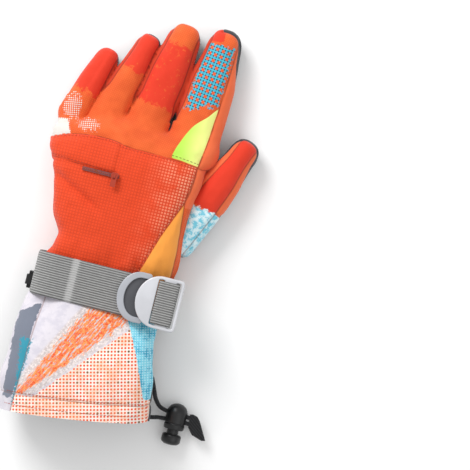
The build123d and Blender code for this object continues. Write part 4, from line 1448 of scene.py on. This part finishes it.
@dataclass
class Drawcord:
    """The hem's elastic cord with its lock and end tab."""

    braid: bpy.types.Material
    plastic: bpy.types.Material
    tab_webbing: bpy.types.Material
    steel: bpy.types.Material
    diameter: float = 3.0
    upper: tuple = ((46.8, -112.0, 16.0), (49.5, -118.5, 13.0), (52.5, -127.0, 8.4), (59.5, -133.5, 7.6),
                    (80.5, -133.5, 7.6))
    lower: tuple = ((47.0, -139.8, 10.2), (52.8, -139.6, 8.2), (58.2, -137.7, 7.6), (80.5, -137.7, 7.6))

    def cord(self, name: str, route: tuple) -> bpy.types.Object:
        """Make one cord along a smooth spline through its route.

        Args:
            name: Name of the piece.
            route: Control points in millimetres.

        Returns:
            The cord as a closed mesh tube.
        """
        curve = bpy.data.curves.new(name, "CURVE")
        curve.dimensions = "3D"
        curve.resolution_u = 12
        spline = curve.splines.new("NURBS")
        spline.points.add(len(route) - 1)
        for point, place_mm in zip(spline.points, route):
            point.co = (*(c * MM for c in place_mm), 1)
        spline.order_u = 3
        spline.use_endpoint_u = True
        holder = bpy.data.objects.new(name + "_route", curve)
        bpy.context.scene.collection.objects.link(holder)
        evaluated = holder.evaluated_get(bpy.context.evaluated_depsgraph_get())
        line_mesh = bpy.data.meshes.new_from_object(evaluated)
        line = np.array([v.co for v in line_mesh.vertices]) * 1000
        bpy.data.objects.remove(holder)
        tangent = np.gradient(line, axis=0)
        tangent /= np.linalg.norm(tangent, axis=1)[:, None]
        side = np.cross(tangent, (0, 0, 1.0))
        side /= np.linalg.norm(side, axis=1)[:, None]
        up = np.cross(side, tangent)
        steps = 20
        radius = self.diameter / 2
        rows, along, around = [], [], []
        run = np.concatenate([[0], np.cumsum(np.linalg.norm(np.diff(line, axis=0), axis=1))])
        for place_mm, a_side, a_up, s in zip(line, side, up, run):
            for i in range(steps):
                a = 2 * pi * i / steps
                rows.append(place_mm + radius * (cos(a) * a_side + sin(a) * a_up))
                along.append(s)
                around.append(abs(i - steps / 2) * 2 * pi * radius / steps)
        faces = [tuple(f) for f in grid_faces(len(line), steps, True)]
        faces += [tuple(range(steps)), tuple((len(line) - 1) * steps + i for i in range(steps))]
        piece = make_mesh(name, np.array(rows), faces)
        store(piece, {"along": np.array(along), "across": np.array(around)})
        outward_keep(piece)
        dress(piece, self.braid)
        self.paths[name] = [tuple(p * MM) for p in line]
        return piece

    def anchor(self) -> bpy.types.Object:
        """Build the tapered cloth root that holds the upper cord to the cuff.

        Returns:
            The root, riding the cuff.
        """
        rows = []
        steps = 24
        stations = [(44.4, -107.5, 17.6, 3.4, 1.0), (46.2, -111.5, 16.2, 3.2, 1.5),
                    (48.6, -117.5, 13.6, 2.5, 1.9),
                    (50.6, -122.5, 10.9, 1.7, 1.7)]
        for x, y, z, wide, deep in stations:
            for i in range(steps):
                a = 2 * pi * i / steps
                rows.append((x + deep * cos(a), y + 0.4 * wide * sin(a), z + wide * sin(a)))
        faces = [tuple(f) for f in grid_faces(len(stations), steps, True)]
        faces += [tuple(range(steps)), tuple((len(stations) - 1) * steps + i for i in range(steps))]
        piece = make_mesh("drawcord_root", np.array(rows), faces)
        outward_keep(piece)
        store(piece, {"along": np.array(rows)[:, 1], "across": np.array(rows)[:, 2]})
        dress(piece, self.tab_webbing)
        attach(piece, Body.CUFF.value)
        return piece

    def build(self) -> None:
        """Build and attach the cords, the lock and the tab."""
        self.paths: dict[str, list] = {}
        barrel_box = [tuple(c * 1000 for c in corner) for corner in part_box("lock_barrel")]
        (bx0, by0, bz0), (bx1, by1, bz1) = barrel_box
        cx, cz = (bx0 + bx1) / 2, (bz0 + bz1) / 2
        radius = (bx1 - bx0) / 2
        barrel = lathe("lock_barrel_body", [
            (by0 + 0.0, radius - 1.6), (by0 + 0.3, radius - 0.6), (by0 + 1.2, radius - 0.2),
            (by0 + 3.5, radius - 0.1),
            (by0 + 3.9, radius - 0.5), (by0 + 4.5, radius - 0.5), (by0 + 4.9, radius - 0.05),
            (by1 - 6.5, radius),
            (by1 - 4.0, radius - 0.6), (by1 - 2.0, radius - 2.0), (by1 - 0.6, radius - 4.2),
            (by1, radius - 6.6),
        ], (cx, 0, cz), self.plastic)
        (_, py0, _), (_, py1, _) = (tuple(c * 1000 for c in corner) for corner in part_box("lock_plunger"))
        cap = lathe("lock_plunger_cap", [
            (py0, 2.4), (py0 + 0.5, 4.8), (py0 + 1.6, 6.3), (py0 + 2.6, 6.8), (py0 + 6.0, 6.8),
            (py0 + 7.0, 6.5),
            (py0 + 7.5, 5.8), (py0 + 7.5, 4.0), (py1, 4.0),
        ], (cx, 0, cz), self.plastic)
        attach(barrel, Body.CORD_LOCK.value)
        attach(cap, Body.LOCK_PLUNGER.value)
        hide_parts("lock_barrel")
        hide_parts("lock_plunger")
        tab_outline = [(78.5, -131.0), (81.0, -130.6), (84.0, -131.6), (86.2, -134.0), (93.2, -146.4),
                       (90.5, -147.0),
                       (83.0, -144.6), (79.2, -140.0)]
        tab = plate("cord_end_tab", [tab_outline], 5.4, 9.8, 0.8, self.tab_webbing)
        flat = np.array([v.co for v in tab.data.vertices]) * 1000
        store(tab, {"along": flat[:, 0] * 0.8 - flat[:, 1] * 0.6,
                    "across": flat[:, 0] * 0.6 + flat[:, 1] * 0.8})
        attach(tab, Body.CUFF.value)
        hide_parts("cord_tab")
        root = self.anchor()
        for name, route, others in (("upper_drawcord", self.upper, [tab, barrel, cap, root]),
                                    ("lower_drawcord", self.lower, [])):
            piece = self.cord(name, route)
            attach(piece, Body.CUFF.value)
            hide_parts("drawcord_upper" if name.startswith("upper") else "drawcord_lower")


@dataclass
class PairClip:
    """The small clip that holds a pair of gloves together."""

    plastic: bpy.types.Material

    def build(self) -> None:
        """Dress the clip and its loop."""
        for node in ("pair_clip", "clip_loop"):
            dress(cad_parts[node], self.plastic)


@dataclass
class PocketZip:
    """The zip under the pocket flap, with teeth repeated along a line."""

    enamel: bpy.types.Material
    tape: bpy.types.Material
    coil: bpy.types.Material
    pitch: float = 1.5

    def build(self) -> None:
        """Dress the slider and the pull, and build the tape and the teeth."""
        for node in ("zip_slider", "zip_pull"):
            dress(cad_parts[node], self.enamel)
        low, high = (np.array(corner) * 1000 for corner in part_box("zip_tape"))
        middle = (low[1] + high[1]) / 2
        outline = box_loop(low[0], high[0], middle - 1.3, middle + 1.3, 0.3)
        tape = plate("zip_ribbon", [outline], low[2] - 0.3, high[2], 0.1, self.tape)
        store(tape, {"rest": np.array([v.co for v in tape.data.vertices])})
        line = np.array([(low[0] + 0.8, middle, high[2] + 0.1), (high[0] - 2.5, middle, high[2] + 0.1)])
        teeth = repeat_along("zip_coil", [line], self.pitch, (0.8, 1.1, 0.55), self.coil)
        for piece, node in ((tape, "zip_tape"), (teeth, "zip_teeth")):
            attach(piece, Body.HAND.value)
            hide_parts(node)


def socket_id(tree: bpy.types.GeometryNodeTree, name: str) -> str:
    """Find the identifier of a named input of a node group."""
    return next(i.identifier for i in tree.interface.items_tree if i.item_type == "SOCKET" and i.name == name)


def repeat_tree() -> bpy.types.GeometryNodeTree:
    """Write the node group that repeats a small rounded block along lines.

    Returns:
        The node group, with inputs for pitch, block size and material.
    """
    tree = bpy.data.node_groups.new("repeat_along_line", "GeometryNodeTree")
    face = tree.interface
    face.new_socket("Geometry", in_out="INPUT", socket_type="NodeSocketGeometry")
    face.new_socket("Pitch", in_out="INPUT", socket_type="NodeSocketFloat")
    face.new_socket("Block Size", in_out="INPUT", socket_type="NodeSocketVector")
    face.new_socket("Material", in_out="INPUT", socket_type="NodeSocketMaterial")
    face.new_socket("Geometry", in_out="OUTPUT", socket_type="NodeSocketGeometry")

    def add(kind: str, links: dict, **settings: object) -> bpy.types.Node:
        """Add a node to the group with its links and settings."""
        node = tree.nodes.new(kind)
        for key, value in settings.items():
            setattr(node, key, value)
        for key, value in links.items():
            if isinstance(value, bpy.types.NodeSocket):
                tree.links.new(value, node.inputs[key])
            else:
                node.inputs[key].default_value = value
        return node

    source = add("NodeGroupInput", {})
    curve = add("GeometryNodeMeshToCurve", {"Mesh": source.outputs["Geometry"]})
    spread = add("GeometryNodeCurveToPoints",
                 {"Curve": curve.outputs["Curve"], "Length": source.outputs["Pitch"]},
                 mode="LENGTH")
    block = add("GeometryNodeMeshIcoSphere", {"Radius": 0.5, "Subdivisions": 2})
    placed = add("GeometryNodeInstanceOnPoints", {
        "Points": spread.outputs["Points"], "Instance": block.outputs["Mesh"],
        "Rotation": spread.outputs["Rotation"], "Scale": source.outputs["Block Size"]})
    solid = add("GeometryNodeRealizeInstances", {"Geometry": placed.outputs["Instances"]})
    dressed = add("GeometryNodeSetMaterial", {"Geometry": solid.outputs["Geometry"],
                                              "Material": source.outputs["Material"]})
    add("NodeGroupOutput", {"Geometry": dressed.outputs["Geometry"]})
    return tree


def repeat_along(name: str, lines: list[np.ndarray], pitch: float, block: tuple[float, float, float],
                 material: bpy.types.Material) -> bpy.types.Object:
    """Repeat a rounded block along lines with the node group and keep the plain mesh.

    Args:
        name: Name of the piece.
        lines: Points of each line in millimetres.
        pitch: Distance between blocks in millimetres.
        block: Block size along, across and up, in millimetres.
        material: Material of the blocks.

    Returns:
        The blocks as one plain mesh.
    """
    points = np.concatenate(lines)
    mesh = bpy.data.meshes.new(name)
    edges, start = [], 0
    for line in lines:
        edges += [(start + i, start + i + 1) for i in range(len(line) - 1)]
        start += len(line)
    mesh.from_pydata((points * MM).tolist(), edges, [])
    piece = bpy.data.objects.new(name, mesh)
    bpy.context.scene.collection.objects.link(piece)
    tree = bpy.data.node_groups.get("repeat_along_line") or repeat_tree()
    modifier = piece.modifiers.new("repeat", "NODES")
    modifier.node_group = tree
    along, across, up = block
    modifier[socket_id(tree, "Pitch")] = pitch * MM
    modifier[socket_id(tree, "Block Size")] = (up * MM, across * MM, along * MM)
    modifier[socket_id(tree, "Material")] = material
    bake_modifiers(piece)
    dress(piece, material)
    return piece


@dataclass
class Stitching:
    """Rows of machine stitches laid on the finished skin."""

    thread: bpy.types.Material
    pitch: float = 2.6
    block: tuple[float, float, float] = (1.9, 0.42, 0.4)

    def lay(self, name: str, skins: list[bpy.types.Object], rows: list[list[tuple[float, float]]],
            body: Body) -> bpy.types.Object:
        """Drop rows of stitches onto a skin from above.

        Args:
            name: Name of the piece.
            skins: Skins to lay them on.
            rows: Plan points of each row, in millimetres.
            body: Body that the stitches ride.

        Returns:
            The stitches.
        """
        trees = [BVHTree.FromPolygons([v.co for v in skin.data.vertices],
                                      [tuple(p.vertices) for p in skin.data.polygons]) for skin in skins]
        lines = []
        for row in rows:
            places, _ = resample(row, 0.8)
            found = []
            for x, y in places:
                hits = [tree.ray_cast(Vector((x * MM, y * MM, 0.1)), Vector((0, 0, -1)))[0] for tree in trees]
                heights = [hit.z * 1000 for hit in hits if hit is not None]
                if heights:
                    found.append((x, y, max(heights) + 0.08))
            if len(found) > 2:
                lines.append(np.array(found))
        piece = repeat_along(name, lines, self.pitch, self.block, self.thread)
        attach(piece, body.value)
        return piece


# ------------------------------------------------------------------ stage
@dataclass
class Studio:
    """Pale floor, soft lights and the camera."""

    roll: float = 14.0
    view_width: float = 0.3243
    aim: tuple[float, float] = (0.0786, -0.0017)
    distance: float = 1.7
    subject_height: float = 0.03

    def build(self) -> None:
        """Build the floor, the lights and the camera."""
        bpy.ops.mesh.primitive_plane_add(size=6, location=(0, 0, 0))
        floor = bpy.context.object
        floor.name = "studio_floor"
        t = Tree("paper_floor")
        t.add("OutputMaterial", t.add("BsdfPrincipled", named={"Base Color": (0.93, 0.93, 0.93, 1),
                                                               "Roughness": 0.9}))
        dress(floor, t.material)
        world = bpy.data.worlds.new("studio")
        world.use_nodes = True
        world.node_tree.nodes["Background"].inputs[0].default_value = (1, 1, 1, 1)
        world.node_tree.nodes["Background"].inputs[1].default_value = 0.72
        bpy.context.scene.world = world
        for name, place_m, power, size in (("key", (-0.75, 0.75, 0.85), 15.0, 0.7),
                                           ("fill", (0.7, -0.3, 1.1), 2.5, 1.0)):
            light = bpy.data.lights.new(name, "AREA")
            light.energy = power
            light.size = size
            lamp = bpy.data.objects.new(name, light)
            lamp.location = place_m
            lamp.rotation_euler = (-Vector(place_m)).to_track_quat("-Z", "Y").to_euler()
            bpy.context.scene.collection.objects.link(lamp)
        camera = bpy.data.cameras.new("camera")
        camera.sensor_width = 36
        camera.lens = self.distance * 36 / self.view_width
        eye = bpy.data.objects.new("camera", camera)
        eye.location = (*self.aim, self.distance + self.subject_height)
        eye.rotation_euler = (0, 0, radians(self.roll))
        bpy.context.scene.collection.objects.link(eye)
        bpy.context.scene.camera = eye
        bpy.context.scene.view_settings.view_transform = "Standard"


def main() -> None:
    """Build the whole glove around its frame."""
    logging.basicConfig(level=logging.INFO)
    webbing = Webbing("5A5A59", "B2B2B1", "grey_webbing").material()
    black_webbing = Webbing("0D0D0E", "26262A", "black_webbing").material()
    grey_plastic = Moulded("grey_acetal", "A9ACB3", 0.25, 0.5).material()
    # dark grey for the rear buckle's recessed floor: painted shade
    painted_shade_plastic = Moulded("shadow_grey_acetal", "4A4B50", 0.4).material()
    black_plastic = Moulded("black_acetal", "101012", 0.38).material()
    enamel = Moulded("red_enamel", "A8341A", 0.4).material()
    fleece = Fleece("charcoal_fleece", "26272B", "45464C").material()
    wadding = Fleece("white_wadding", "D8D8D4", "F0F0EE").material()
    shell = PrintedShell().material()
    skin = GloveSkin(cloth=shell)
    skin.build()
    skin.attach()
    PalmPatch(Leather().material()).build()
    film = Moulded("white_film", "E4E8EA", 0.35).material()
    skin.inner_layer("water_barrier", 2.1, 0.4, "membrane_insert", film)
    skin.inner_layer("wadding_layer", 2.8, 1.8, "hand_insulation", wadding)
    skin.inner_layer("fleece_layer", 4.9, 0.9, "hand_fleece_lining", fleece)
    LOG.info("skin: %d pieces", len(skin.pieces))
    cuff = Cuff(cloth=PrintedCuff().material(), lining=fleece)
    cuff_skin, cuff_liner = cuff.build()
    cuff.attach(cuff_skin, cuff_liner)
    LOG.info("cuff built")
    pale_plastic = Moulded("pale_grey_acetal", "CACBD0", 0.22, 0.5).material()
    WristStrap(webbing, grey_plastic, pale_plastic, painted_shade_plastic).build()
    Drawcord(Braid().material(), black_plastic, black_webbing, painted_shade_plastic).build()
    PairClip(black_plastic).build()
    coil = Moulded("red_coil", "B03C1C", 0.5).material()
    PocketZip(enamel, shell, coil).build()
    thread = Moulded("orange_thread", "A83414", 0.6).material()
    dark_thread = Moulded("brown_thread", "6B4A1C", 0.6).material()
    seams = Stitching(thread)
    pocket_top = [(x, float(through(POCKET_TOP, np.array(float(x)))) - 1.6) for x in range(-58, 43, 3)]
    pocket_side = [(float(through(POCKET_RIGHT, np.array(float(y)))) - 1.4, y) for y in range(-42, 36, 3)]
    flap_foot = [(x, 21.2 - 0.06 * (x + 36)) for x in range(-56, -13, 3)]
    seams.lay("pocket_stitches", [skin.pieces["hand_skin"]], [pocket_top, pocket_side, flap_foot],
              Body.HAND)
    lime_foot = [(x, float(through(POCKET_TOP, np.array(float(x)))) + 2.4) for x in range(24, 43, 2)]
    Stitching(dark_thread).lay("lime_stitches", [skin.pieces["hand_skin"]], [lime_foot], Body.HAND)
    hem_row = [(x, -149.3 + 12.0 + 0.139 * x + 1.2 * ((x / 50) ** 2 - 0.4) + 1.4) for x in range(-46, 47, 3)]
    hem_foot = [(x, y - 8.6) for x, y in hem_row]
    seams.lay("hem_stitches", [cuff_skin], [hem_row, hem_foot], Body.CUFF)
    for name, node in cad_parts.items():
        if name.endswith("_lining") and name not in ("cuff_lining", "hand_fleece_lining"):
            dress(node, fleece)
    Studio().build()


if __name__ == "__main__":
    main()
